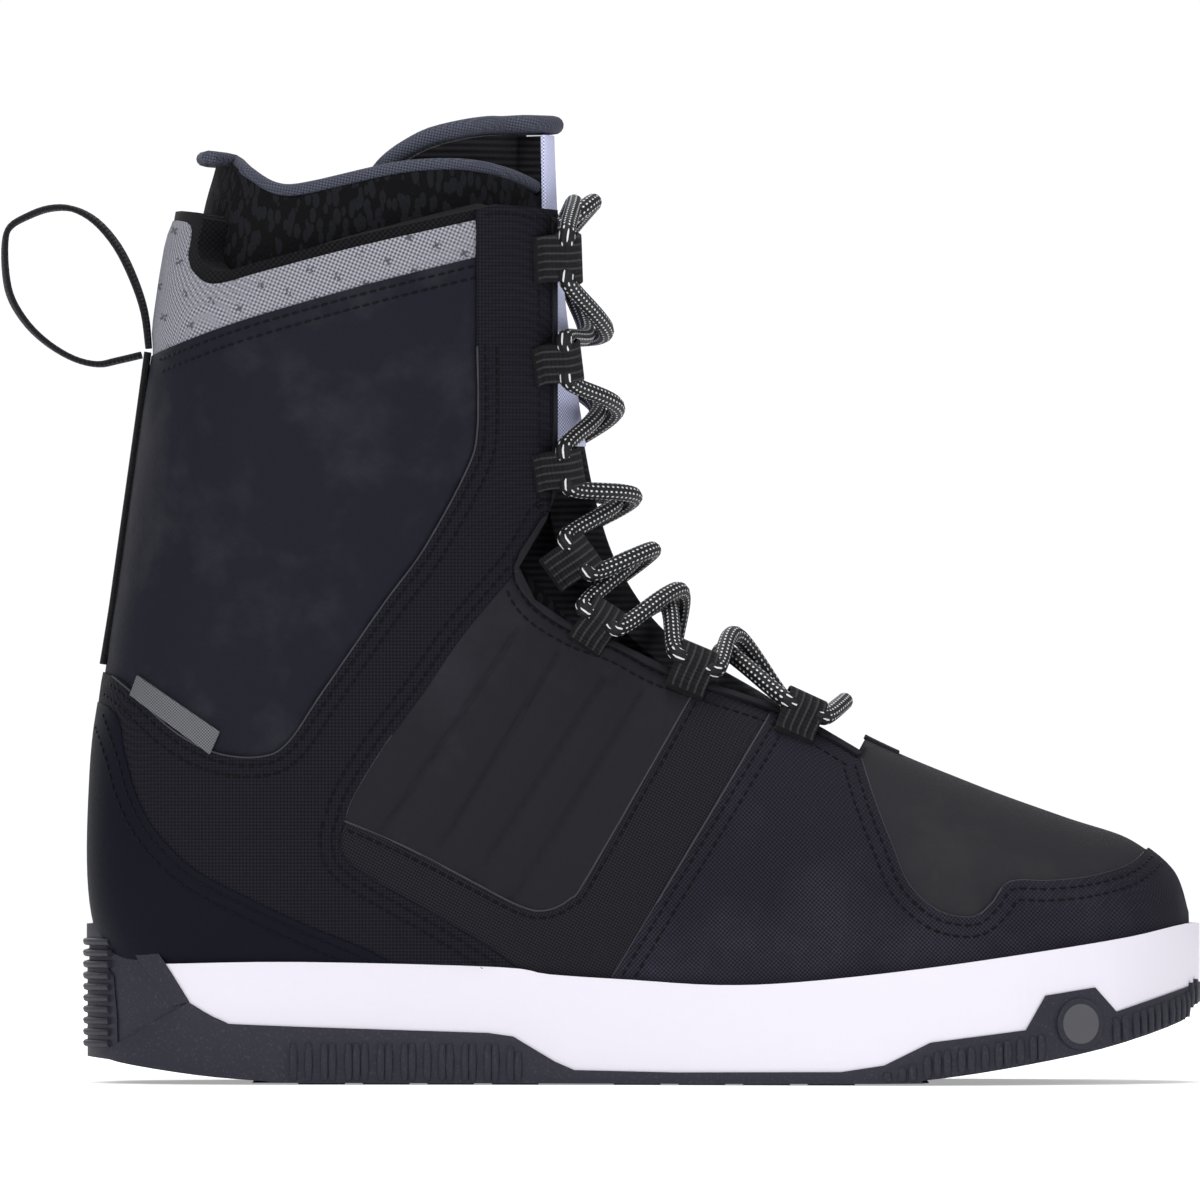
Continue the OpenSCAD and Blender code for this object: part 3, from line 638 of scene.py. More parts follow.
FLOAT, VECTOR, COLOUR = "NodeSocketFloat", "NodeSocketVector", "NodeSocketColor"


def weave_group():
    """A plain weave read from three sides and blended by which way the surface faces."""
    def build(n, given):
        scaled = n.add("ShaderNodeVectorMath", {"operation": "SCALE"})
        n.put(scaled.inputs[0], given["Vector"])
        n.put(scaled.inputs["Scale"], given["Threads"])
        split = n.add("ShaderNodeSeparateXYZ", Vector=scaled.outputs[0])
        waves = [n.math("SINE", split.outputs[k]) for k in range(3)]
        facing = n.add("ShaderNodeNewGeometry").outputs["Normal"]
        turned = n.add("ShaderNodeSeparateXYZ", Vector=facing)
        total = None
        for k, (a, b) in enumerate(((1, 2), (0, 2), (0, 1))):
            weight = n.math("POWER", n.math("ABSOLUTE", turned.outputs[k]), 2.0)
            part = n.math("MULTIPLY", weight, n.math("MULTIPLY", waves[a], waves[b]))
            total = part if total is None else n.math("ADD", total, part)
        return {"Height": n.math("MULTIPLY_ADD", total, 0.5, 0.5)}
    return group("thread weave", [("Vector", VECTOR, None), ("Threads", FLOAT, 3000.0)],
                 [("Height", FLOAT)], build)


def grain_group():
    """Fine grain with soft lighter patches of painted sheen, as on brushed leather."""
    def build(n, given):
        fine = n.add("ShaderNodeTexNoise", Vector=given["Vector"], Scale=given["Grain"],
                     Detail=4.0, Roughness=0.7)
        cells = n.add("ShaderNodeTexVoronoi", Vector=given["Vector"], Scale=given["Grain"])
        patch = n.add("ShaderNodeTexNoise", Vector=given["Vector"], Scale=given["Patches"],
                      Detail=5.0, Roughness=0.62)
        spots = n.add("ShaderNodeMapRange", Value=patch.outputs[0])
        spots.inputs["From Min"].default_value = 0.5
        spots.inputs["From Max"].default_value = 0.72
        worn = n.math("MULTIPLY", spots.outputs[0], fine.outputs[0])
        height = n.math("MULTIPLY_ADD", cells.outputs["Distance"], 0.5, fine.outputs[0])
        return {"Height": height, "Worn": worn}
    return group("brushed grain",
                 [("Vector", VECTOR, None), ("Grain", FLOAT, 700.0), ("Patches", FLOAT, 22.0)],
                 [("Height", FLOAT), ("Worn", FLOAT)], build)


GROUPS = {}


def material(name, colour, roughness=0.8, specular=0.2, sheen=0.0, weave=0.0, grain=0.0,
             patches=22.0, worn=(0.3, 0.3, 0.35), painted_sheen_mix=0.0, strength=0.3, depth=0.25,
             turn=0.0, extra=None):
    """A fabric, leather or moulded finish from the shared weave and grain."""
    m = bpy.data.materials.new(name)
    m.use_nodes = True
    n = Nodes(m.node_tree)
    shader = m.node_tree.nodes["Principled BSDF"]
    place = n.add("ShaderNodeTexCoord").outputs["Object"]
    turned = n.add("ShaderNodeMapping", Vector=place)
    turned.inputs["Rotation"].default_value = (0, turn, 0)
    base = (*colour, 1)
    grained = n.add("ShaderNodeGroup", {"node_tree": GROUPS["grain"]}, Vector=place)
    grained.inputs["Grain"].default_value = grain or 900.0
    grained.inputs["Patches"].default_value = patches
    # painted sheen: the colour is lightened in soft random patches to stand for the nap's sheen
    lifted = n.mix(n.math("MULTIPLY", grained.outputs["Worn"], painted_sheen_mix), base, (*worn, 1))
    height = grained.outputs["Height"]
    if weave:
        woven = n.add("ShaderNodeGroup", {"node_tree": GROUPS["weave"]},
                      Vector=turned.outputs[0])
        woven.inputs["Threads"].default_value = 2 * math.pi / (weave * MM) / 1.414
        # painted light and shade: the colour follows the weave's relief, darker in its hollows and
        # lighter on the thread crowns
        painted_shading = n.math("MULTIPLY_ADD", woven.outputs[0], 1.8, 0.1)
        lifted = n.add("ShaderNodeVectorMath", {"operation": "SCALE"}, Vector=lifted)
        n.put(lifted.inputs["Scale"], painted_shading)
        lifted = lifted.outputs[0]
        height = n.math("MULTIPLY_ADD", height, 0.3, woven.outputs[0])
    if extra:
        lifted, height = extra(n, lifted, height, place)
    bump = n.add("ShaderNodeBump", Height=height, Strength=strength, Distance=depth * MM)
    n.put(shader.inputs["Base Color"], lifted)
    rough = n.math("MULTIPLY_ADD", grained.outputs["Height"], 0.12, roughness - 0.06)
    n.put(shader.inputs["Roughness"], rough)
    n.put(shader.inputs["Normal"], bump.outputs[0])
    shader.inputs["Specular IOR Level"].default_value = specular
    shader.inputs["Sheen Weight"].default_value = sheen
    shader.inputs["Sheen Roughness"].default_value = 0.5
    return m


def pinholes(n, colour, height, place):
    """Crossed holes in the collar's knit, painted dark as the shade inside them."""
    turned = n.add("ShaderNodeMapping", Vector=place)
    turned.inputs["Rotation"].default_value = (0, -0.28, 0)
    turned.inputs["Scale"].default_value = (125, 125, 125)
    split = n.add("ShaderNodeSeparateXYZ", Vector=turned.outputs[0])
    row = n.math("FLOOR", split.outputs[2])
    shift = n.math("MULTIPLY", n.math("MODULO", row, 2.0), 0.5)
    u = n.math("SUBTRACT", n.math("FRACT", n.math("ADD", split.outputs[0], shift)), 0.5)
    v = n.math("SUBTRACT", n.math("FRACT", split.outputs[2]), 0.5)
    a = n.math("ABSOLUTE", n.math("ADD", u, v))
    b = n.math("ABSOLUTE", n.math("SUBTRACT", u, v))
    arms = n.math("LESS_THAN", n.math("MINIMUM", a, b), 0.06)
    near = n.math("LESS_THAN", n.math("MAXIMUM", a, b), 0.22)
    thread = n.add("ShaderNodeTexNoise", Vector=place, Scale=900.0, Detail=2.0)
    broken = n.math("GREATER_THAN", thread.outputs[0], 0.44)
    shaded_hole = n.math("MULTIPLY", n.math("MULTIPLY", arms, near), broken)
    # painted shade: the holes are darkened and dented to stand for their shadowed insides
    return n.mix(shaded_hole, colour, (0.075, 0.075, 0.088, 1)), n.math("SUBTRACT", height, shaded_hole)


def diagonal_knit(n, colour, height, place):
    """Slanted rows of loose knit, as on the liner, with painted shade in the gaps."""
    turned = n.add("ShaderNodeMapping", Vector=place)
    turned.inputs["Rotation"].default_value = (0, 0.7, 0)
    turned.inputs["Scale"].default_value = (520, 420, 230)
    cells = n.add("ShaderNodeTexVoronoi", Vector=turned.outputs[0], Scale=1.0)
    shaded_gap = n.math("GREATER_THAN", cells.outputs["Distance"], 0.5)
    # painted shade: the gaps between the knit rows are given a darker colour
    painted_shading = n.mix(shaded_gap, (0.0100, 0.0105, 0.0135, 1), (0.0025, 0.0025, 0.003, 1))
    return n.mix(0.8, colour, painted_shading), n.math("SUBTRACT", height, shaded_gap)


def ribbed_cloth(n, colour, height, place):
    """Fine level ribs, as on the tongue, with a painted highlight on their crowns."""
    split = n.add("ShaderNodeSeparateXYZ", Vector=place)
    rib = n.math("SINE", n.math("MULTIPLY", split.outputs[2], 2 * math.pi / (1.9 * MM)))
    lift = n.math("MULTIPLY_ADD", rib, 0.5, 0.5)
    # painted highlight: the colour is lightened where the rib stands highest
    return n.mix(lift, colour, (0.017, 0.017, 0.02, 1)), n.math("MULTIPLY_ADD", lift, 1.6, height)


def webbing_lines(n, colour, height, place):
    """Lengthwise cords of woven webbing, from the piece's own UV map, with painted highlights."""
    uv = n.add("ShaderNodeUVMap", {"uv_map": "along"})
    split = n.add("ShaderNodeSeparateXYZ", Vector=uv.outputs[0])
    cord = n.math("SINE", n.math("MULTIPLY", split.outputs[0], 2 * math.pi / (2.2 * MM)))
    pick_line = n.math("SINE", n.math("MULTIPLY", split.outputs[1], 2 * math.pi / (1.2 * MM)))
    lift = n.math("MULTIPLY_ADD", cord, 0.5, 0.5)
    both = n.math("MULTIPLY_ADD", pick_line, 0.25, lift)
    # painted highlight: the crown of each cord is mixed towards a paler grey
    pale = n.math("POWER", lift, 6.0)
    return (n.mix(n.math("MULTIPLY", pale, 0.55), colour, (0.06, 0.06, 0.068, 1)),
            n.math("MULTIPLY_ADD", both, 1.5, height))


def lace_flecks(n, colour, height, place):
    """Pale flecks in slanting rows round the lace, from its UV map."""
    uv = n.add("ShaderNodeUVMap", {"uv_map": "along"})
    split = n.add("ShaderNodeSeparateXYZ", Vector=uv.outputs[0])
    round_it = n.math("MULTIPLY", split.outputs[0], 10.0)
    along_it = n.math("DIVIDE", split.outputs[1], 2.3 * MM)
    row = n.math("FLOOR", round_it)
    shift = n.math("MULTIPLY", n.math("MODULO", row, 2.0), 0.5)
    u = n.math("SUBTRACT", n.math("FRACT", round_it), 0.5)
    v = n.math("SUBTRACT", n.math("FRACT", n.math("ADD", along_it, shift)), 0.5)
    far = n.math("SQRT", n.math("ADD", n.math("POWER", n.math("MULTIPLY", u, 1.25), 2.0),
                                n.math("POWER", v, 2.0)))
    fleck = n.math("LESS_THAN", far, 0.235)
    return (n.mix(fleck, colour, (0.62, 0.62, 0.64, 1)),
            n.math("MULTIPLY_ADD", n.math("SUBTRACT", 0.7, far), 1.5, height))


def stipple(n, colour, height, place):
    """A faint moulded stipple on the midsole."""
    fine = n.add("ShaderNodeTexNoise", Vector=place, Scale=1300.0, Detail=2.0)
    return colour, n.math("MULTIPLY_ADD", fine.outputs[0], 0.8, height)


def speckle(n, colour, height, place):
    """Small pale specks in the rubber."""
    fine = n.add("ShaderNodeTexNoise", Vector=place, Scale=1500.0, Detail=1.0)
    speck = n.math("GREATER_THAN", fine.outputs[0], 0.64)
    return n.mix(n.math("MULTIPLY", speck, 0.5), colour, (0.045, 0.045, 0.055, 1)), height


M = {}


def make_materials(c):
    """Fills the table of finishes."""
    GROUPS["weave"] = weave_group()
    GROUPS["grain"] = grain_group()
    deep = tuple(c.black)
    M.update(
        nubuck=material("brushed nubuck", c.nubuck, 0.72, 0.12, grain=1100.0, patches=42.0,
                        worn=(0.055, 0.05, 0.058), painted_sheen_mix=0.45, strength=0.4),
        weave=material("overlay weave", c.weave, 0.75, 0.1, weave=0.95, turn=0.785,
                       strength=0.5),
        vamp=material("vamp weave", c.vamp, 0.75, 0.1, weave=0.85, turn=0.05, strength=0.45,
                      patches=14.0, worn=(0.05, 0.047, 0.066), painted_sheen_mix=0.5),
        toe=material("toe nubuck", c.toe, 0.75, 0.12, grain=1300.0, patches=18.0,
                     worn=(0.045, 0.045, 0.045), painted_sheen_mix=0.6, strength=0.25),
        counter=material("smooth counter", c.counter, 0.6, 0.07, grain=900.0, strength=0.12),
        quarter=material("quarter weave", c.midfoot, 0.72, 0.1, weave=0.8, turn=0.3,
                         strength=0.3),
        midfoot=material("midfoot synthetic", c.midfoot, 0.66, 0.13, grain=900.0,
                         patches=16.0, worn=(0.035, 0.036, 0.05), painted_sheen_mix=0.6, strength=0.2),
        knit=material("collar knit", c.knit, 0.85, 0.15, weave=1.0, turn=0.4, strength=0.8,
                      extra=pinholes),
        lining=material("lining", deep, 0.9, 0.1, weave=1.1, strength=0.4, sheen=0.02),
        liner=material("liner knit", deep, 0.9, 0.12, extra=diagonal_knit, strength=0.8,
                       depth=0.4),
        piping=material("piping", c.piping, 0.8, 0.2, weave=0.8, turn=0.6, strength=0.5),
        ribbed=material("tongue cloth", deep, 0.88, 0.12, extra=ribbed_cloth, strength=0.7,
                        depth=0.4),
        face=material("tongue face", c.face, 0.6, 0.3, weave=0.7, strength=0.1),
        webbing=material("webbing", deep, 0.75, 0.2, extra=webbing_lines, strength=0.7,
                         depth=0.4),
        lace=material("lace", deep, 0.6, 0.25, extra=lace_flecks, strength=0.6, depth=0.4),
        # thread: near-black, partly the thread's own dark colour and partly painted shade standing
        # for its needle holes and grooves
        thread=material("thread", (0.0022, 0.0022, 0.0030), 0.6, 0.12, strength=0.2),
        foam=material("midsole foam", c.foam, 0.6, 0.35, extra=stipple, strength=0.25,
                      depth=0.15),
        rubber=material("outsole rubber", c.rubber, 0.55, 0.2, extra=speckle, strength=0.3),
        disc=material("side disc", (0.056, 0.054, 0.063), 0.5, 0.4, strength=0.1),
        label=material("label tab", (0.085, 0.086, 0.094), 0.6, 0.3, weave=0.6, strength=0.2),
        # painted highlight: the raw-edge bead is coloured lighter than the panels to stand for the
        # light its edge catches
        edge=material("painted edge highlight", (0.036, 0.036, 0.043), 0.6, 0.2, strength=0.1),
        steel=material("shank steel", (0.45, 0.45, 0.46), 0.35, 0.5, strength=0.1),
        cushion=material("heel cushion", (0.08, 0.1, 0.13), 0.7, 0.3, strength=0.2),
        board=material("lasting board", (0.22, 0.18, 0.12), 0.85, 0.2, strength=0.3),
        footbed=material("footbed foam", (0.06, 0.068, 0.09), 0.85, 0.2, weave=1.2,
                         strength=0.3),
        stiffener=material("stiffener", (0.14, 0.12, 0.09), 0.75, 0.2, strength=0.2),
        aglet=material("aglet", (0.02, 0.02, 0.024), 0.3, 0.5, strength=0.05),
    )


# ---- Stage ----
def area_light(name, place, target, size, power):
    """A square softbox aimed at a point."""
    data = bpy.data.lights.new(name, "AREA")
    data.shape, data.size, data.energy = "SQUARE", size, power
    o = bpy.data.objects.new(name, data)
    bpy.context.collection.objects.link(o)
    o.location = place
    o.rotation_euler = (Vector(target) - Vector(place)).to_track_quat("-Z", "Y").to_euler()


# The view: its width at the boot and its centre, in metres, and a long lens, in mm.
VIEW_WIDTH = 0.336
VIEW_ASIDE, VIEW_HEIGHT = 0.00014, 0.135
VIEW_LENS = 800
SENSOR = 36
FLOOR_SIDE = 4


class BOOT_OT_stage(bpy.types.Operator):
    """Sets the camera, the soft studio light and the pale floor."""

    bl_idname = "boot.stage"
    bl_label = "Stage"

    def execute(self, context):
        scene = context.scene
        scene.view_settings.view_transform = "Standard"
        data = bpy.data.cameras.new("camera")
        data.lens, data.sensor_width = VIEW_LENS, SENSOR
        data.clip_end = 50
        camera = bpy.data.objects.new("camera", data)
        context.collection.objects.link(camera)
        away = VIEW_WIDTH * VIEW_LENS / SENSOR
        camera.location = (VIEW_ASIDE, -away, VIEW_HEIGHT)
        camera.rotation_euler = (math.pi / 2, 0, 0)
        scene.camera = camera
        bpy.ops.mesh.primitive_plane_add(size=FLOOR_SIDE)
        floor = context.object
        floor.name = "floor"
        m = bpy.data.materials.new("pale floor")
        m.use_nodes = True
        shader = m.node_tree.nodes["Principled BSDF"]
        shader.inputs["Base Color"].default_value = (0.93, 0.93, 0.94, 1)
        shader.inputs["Roughness"].default_value = 0.9
        shader.inputs["Specular IOR Level"].default_value = 0.1
        shader.inputs["Emission Color"].default_value = (1, 1, 1, 1)
        shader.inputs["Emission Strength"].default_value = 0.35
        floor.data.materials.append(m)
        world = bpy.data.worlds.new("studio")
        scene.world = world
        world.use_nodes = True
        n = Nodes(world.node_tree)
        back = world.node_tree.nodes["Background"]
        back.inputs[0].default_value = (0.97, 0.98, 1, 1)
        path = n.add("ShaderNodeLightPath")
        n.put(back.inputs[1], n.math("MULTIPLY_ADD", path.outputs["Is Camera Ray"], 0.75, 0.3))
        mid = (0, 0, 0.12)
        area_light("front softbox", (-0.7, -1.9, 1.2), mid, 1.2, 30)
        area_light("right softbox", (2.0, -0.9, 1.0), mid, 1.0, 12)
        area_light("top softbox", (0, 0.1, 2.2), mid, 1.4, 30)
        area_light("back softbox", (-0.6, 1.9, 1.1), mid, 1.5, 22)
        return {"FINISHED"}


# ---- Lace: its route, its loops and the tape it runs over ----
LOOPS = [((-9, 238), (-8.5, 223)), ((-9.5, 208), (-8, 195.5)), ((-9.5, 178), (-7.5, 166)),
         ((-9, 153), (-1.5, 142.5)), ((-4, 134), (6, 127.5)), ((21, 121), (33, 116)),
         ((51, 108), (63, 102.5))]
CROSS_Z = [209, 187, 161, 145, 131, 116.5]
TOP_CROSS_Z, BAR_Z = 246, 101.5
TAIL = [(-12, 238), (-23, 229), (-33, 214), (-36, 196)]
LACE_D = 4.8
LOOP_RISE = 1.2 + 0.9 + 1.1 + 0.5 + LACE_D / 2
UNDER = LACE_D / 2 + 2.4
OVER = UNDER + LACE_D + 0.6


def loop_end(k, e, side):
    """One end of the lace inside a loop."""
    return on_last(LOOPS[k][e], LOOP_RISE, side)


def front_at(z, g, rise):
    """A point in front of the grown last at a height."""
    f = [section(i / 2, g)[0] for i in range(2 * (len(ROWS) - 1) + 1)]
    k = next(i for i in range(len(f) - 1) if f[i][1] <= z < f[i + 1][1])
    d = f[k + 1] - f[k]
    p = f[k] + d * (z - f[k][1]) / d[1]
    normal = np.array([d[1], -d[0]]) / np.linalg.norm(d)
    return np.array([p[0] + normal[0] * rise, 0, p[1] + normal[1] * rise])


def crossing(z, over):
    """Where a strand crosses the tongue, over or under the other."""
    return front_at(z, -TONGUE_DROP, OVER if over else UNDER)


def strand(side):
    """Half of the lace, from the top loop to the bar at the toe."""
    points = []
    for k in range(len(LOOPS)):
        s = side * (1 if k % 2 == 0 else -1)
        a, b = loop_end(k, 0, s), loop_end(k, 1, s)
        points += [a, a + (b - a) * 0.33, a + (b - a) * 0.67, b]
        if k < len(CROSS_Z):
            points.append(crossing(CROSS_Z[k], (k % 2 == 0) == (side < 0)))
    return points


def tail(side):
    """One end of the lace, tucked down beside the tongue."""
    first = np.array([TAIL[0][0], side * (20 + LACE_D / 2 + 1.5), TAIL[0][1]])
    deep = (-9.5 + WING_OUT) / 2
    return [crossing(TOP_CROSS_Z, side < 0), first] + [on_last(p, deep, side) for p in TAIL[1:]]


def lace_route():
    """The lace from end to end."""
    points = np.array(
        tail(1)[::-1] + strand(-1) + [front_at(BAR_Z, 0, UNDER + 1.2)] + strand(1)[::-1]
        + tail(-1))
    steps = 10
    return [along(points, i / steps) for i in range(steps * (len(points) - 1) + 1)]


class BOOT_OT_lace(bpy.types.Operator):
    """Makes the round lace, with its flecks."""

    bl_idname = "boot.lace"
    bl_label = "Lace"

    def execute(self, context):
        size = context.scene.boot_sizes
        o = tube(lace_route(), size.lace_d / 2, 14, "lace_cord")
        dress(o, "lace_cord", M["lace"], ["lace"])
        return {"FINISHED"}


def outward_at(p, side):
    """The outward direction of the last at a point."""
    p = np.array(p, float)
    dx, dz = np.array([1.0, 0]), np.array([0, 1.0])
    x = on_last(p + dx, LOOP_RISE, side) - on_last(p - dx, LOOP_RISE, side)
    z = on_last(p + dz, LOOP_RISE, side) - on_last(p - dz, LOOP_RISE, side)
    n = np.cross(x, z) * (-1 if side > 0 else 1)
    return n / np.linalg.norm(n)


def webbing_loop(k, side):
    """One band of webbing, folded round the lace and sewn down beside the throat."""
    a, b = loop_end(k, 0, side), loop_end(k, 1, side)
    t = (b - a) / np.linalg.norm(b - a)
    mid = (np.array(LOOPS[k][0]) + np.array(LOOPS[k][1])) / 2
    s = np.cross(outward_at(mid, side), t)
    s /= np.linalg.norm(s)
    if s[0] < 0:
        s = -s
    n = np.cross(t, s)
    if n[1] * side < 0:
        n = -n
    centre = (a + b) / 2
    r = LACE_D / 2 + 1.05
    drop = LOOP_RISE - 0.9
    path = [(-9, -drop), (-6.5, -drop + 0.3), (-r - 0.8, -0.35 * r)]
    path += [(r * math.cos(q), r * math.sin(q)) for q in np.radians(range(160, -161, -20))]
    path += [(-r - 0.2, -drop + 1.6), (-6.5, -drop - 0.2 + 1.2), (-9, -drop + 0.9)]
    points = [centre + s * u + n * v for u, v in smooth(path, 2)]
    return band(points, [t] * len(points), np.linalg.norm(b - a) * 0.86, 1.0)


class BOOT_OT_loops(bpy.types.Operator):
    """Makes the webbing loops that hold the lace, seven a side."""

    bl_idname = "boot.loops"
    bl_label = "Lace loops"

    def execute(self, context):
        for side, word in ((-1, "lateral"), (1, "medial")):
            bands = [webbing_loop(k, side) for k in range(len(LOOPS))]
            dress(joined(bands), f"webbing_loops_{word}", M["webbing"],
                  [f"lace_loops_{word}"])
        return {"FINISHED"}


# ---- Sole ----
# How far each moulded part lies inside the sole's plan: below zero, it stands out.
OUTSOLE_IN, MIDSOLE_IN, CUP_IN, LIP_IN, BLOCK_IN = -0.9, -0.5, -0.2, -0.9, -0.7
SOLE_GAP = 0.15
LIP_TOP = [(-150, 44.3), (-132, 44.3), (-126, 40), (-121, 33.8), (-114.2, 23)]
LIP_LOW = [(-119, 22), (-127, 32.5), (-131, 37.5), (-137, 39.6), (-150, 39.8)]
HEEL_BLOCK = [(-150, 8.2), (-134.4, 6.5), (-134.6, 18), (-135.6, 30), (-138, 33), (-150, 33)]
# Each run of ribs: from x, to x, height of its foot over the base, and tallest rib.
RIB_RUNS = ((-86.7, -19, 0.8, 10.2), (80, 166, 0.6, 7.0))
RIB_OUT = 0.55
NO_RIBS = (124, 142)
TOOTH_COUNT, TOOTH_FIRST, TOOTH_PITCH, TOOTH_OUT, TEETH_FRONT = 10, 11.2, 3.15, 0.9, -135.5
INSERT_HEIGHT, INSERT_DEPTH = 17.1, 2


def inset(points, d):
    """A closed outline moved inwards by d."""
    p = np.array(points)
    t = np.roll(p, -1, 0) - np.roll(p, 1, 0)
    t /= np.linalg.norm(t, axis=1)[:, None]
    n = np.stack([-t[:, 1], t[:, 0]], 1)
    area = np.sum(p[:, 0] * np.roll(p[:, 1], -1) - np.roll(p[:, 0], -1) * p[:, 1])
    return [tuple(q) for q in p + n * (d if area > 0 else -d)]


def moulded(outline, margin, top, bevel):
    """A moulded block: the sole's plan, cut to an outline of the side view."""
    o = prism(inset(closed(SOLE_PLAN, 8), margin), -2, top, plan=True)
    cut(o, prism(outline))
    cut(o, full_last(SOLE_GAP), "DIFFERENCE")
    modify(o, "BEVEL", width=bevel * MM, segments=3, limit_method="ANGLE",
           angle_limit=math.radians(28))
    soften(o, 32)
    return o


def plan_run():
    """Points of the sole's outline with their outward directions."""
    p = np.array(closed(SOLE_PLAN, 24))
    t = np.roll(p, -1, 0) - np.roll(p, 1, 0)
    t /= np.linalg.norm(t, axis=1)[:, None]
    n = np.stack([t[:, 1], -t[:, 0]], 1)
    return p, n


def plan_spots(low, high, side, pitch):
    """Places along one side of the sole, a pitch apart."""
    p, n = plan_run()
    keep = [i for i in range(len(p)) if low <= p[i][0] <= high and p[i][1] * side > 0]
    keep.sort(key=lambda i: p[i][0])
    spots, last, run = [], None, pitch
    for i in keep:
        if last is not None:
            run += np.linalg.norm(p[i] - p[last])
        last = i
        if run >= pitch:
            run -= pitch
            spots.append((p[i], n[i]))
    return spots


def scatter(template, places, name):
    """Copies a small mesh to many places, as one mesh."""
    co, _ = vertex_arrays(template)
    faces = [list(f.vertices) for f in template.data.polygons]
    points, all_faces = [], []
    for m in places:
        base = len(points)
        turned = co @ np.array(m.to_3x3()).T + np.array(m.translation)
        points.extend(turned)
        all_faces += [[base + v for v in f] for f in faces]
    mesh = bpy.data.meshes.new(name)
    mesh.from_pydata([tuple(p) for p in points], [], all_faces)
    o = bpy.data.objects.new(name, mesh)
    bpy.context.collection.objects.link(o)
    soften(o, 50)
    bpy.data.objects.remove(template)
    return o


def frame_at(place, x, y, z):
    """A matrix from three directions, at a place in mm."""
    m = Matrix((x, y, z)).transposed().to_4x4()
    m.translation = Vector(place) * MM
    return m


def rib_template():
    """One upright bar with rounded edges, 1 mm tall before it is stretched."""
    bpy.ops.mesh.primitive_cube_add(size=1)
    o = bpy.context.object
    for v in o.data.vertices:
        v.co = (v.co.x * 2.4 * MM, v.co.y * 2.3 * MM, (v.co.z + 0.5) * MM)
    edit(o, lambda: bpy.ops.mesh.bevel(offset=0.35 * MM, segments=1))
    return o


class BOOT_OT_sole(bpy.types.Operator):
    """Makes the outsole, its ribs, the midsole, and the heel cup with its lip and teeth."""

    bl_idname = "boot.sole"
    bl_label = "Sole"

    def execute(self, context):
        size = context.scene.boot_sizes
        joint = smooth(SOLE_JOINT[:4], 4) + SOLE_JOINT[4:]
        o = moulded(smooth(SOLE_BASE, 4) + joint[::-1], OUTSOLE_IN, 40, 0.8)
        dress(o, "rubber_outsole", M["rubber"], ["outsole"])
        o = moulded(joint + smooth(MIDSOLE_TOP, 4)[::-1], MIDSOLE_IN, 60, 1.2)
        dress(o, "foam_midsole", M["foam"], ["midsole"])
        cup = smooth(CUP_TOP[1:], 4) + [(-114.5, 23), (-139.9, 8.4), (-150, 8.4), (-150, 44)]
        o = moulded(cup, CUP_IN, 60, 0.9)
        dress(o, "rubber_heel_cup", M["rubber"], ["heel_cup"])
        o = moulded(smooth(LIP_TOP, 4) + smooth(LIP_LOW, 4), LIP_IN, 60, 0.8)
        dress(o, "heel_lip", M["rubber"], [])
        o = moulded(HEEL_BLOCK, BLOCK_IN, 60, 0.5)
        dress(o, "heel_block", M["rubber"], [])
        base = np.array(smooth(SOLE_BASE, 4))
        places = []
        for side in (-1, 1):
            for low, high, foot, tall in RIB_RUNS:
                for p, n in plan_spots(low, high, side, size.rib_pitch):
                    if NO_RIBS[0] < p[0] < NO_RIBS[1]:  # under the side insert's ring
                        continue
                    bottom = np.interp(p[0], base[:, 0], base[:, 1]) + foot
                    height = tall
                    if high < 0:
                        height = min(tall, max(2.5, 0.75 * (-12 - p[0])))
                    elif p[0] < 100:
                        height = min(tall, 2.5 + 0.32 * (p[0] - 80))
                    x = Vector((n[0], n[1], 0))
                    y = Vector((0, 0, 1)).cross(x)
                    place = (p[0] + n[0] * RIB_OUT, p[1] + n[1] * RIB_OUT, bottom)
                    places.append(frame_at(place, x, y, Vector((0, 0, height))))
        o = scatter(rib_template(), places, "sole_ribs")
        dress(o, "sole_ribs", M["rubber"], [])
        p, n = plan_run()
        rear = sorted((i for i in range(len(p)) if p[i][0] < TEETH_FRONT),
                      key=lambda i: p[i][1])
        teeth = []
        for k in range(TOOTH_COUNT):
            z = TOOTH_FIRST + k * TOOTH_PITCH
            path = [(p[i][0] + n[i][0] * TOOTH_OUT, p[i][1] + n[i][1] * TOOTH_OUT, z)
                    for i in rear[::3]]
            teeth.append(tube(path, 1, name="tooth", square=[
                (0.95, -0.9), (0.95, 0.5), (0.5, 0.95), (-0.5, 0.95), (-0.95, 0.5),
                (-0.95, -0.9)]))
        dress(joined(teeth), "heel_teeth", M["rubber"], [])
        return {"FINISHED"}


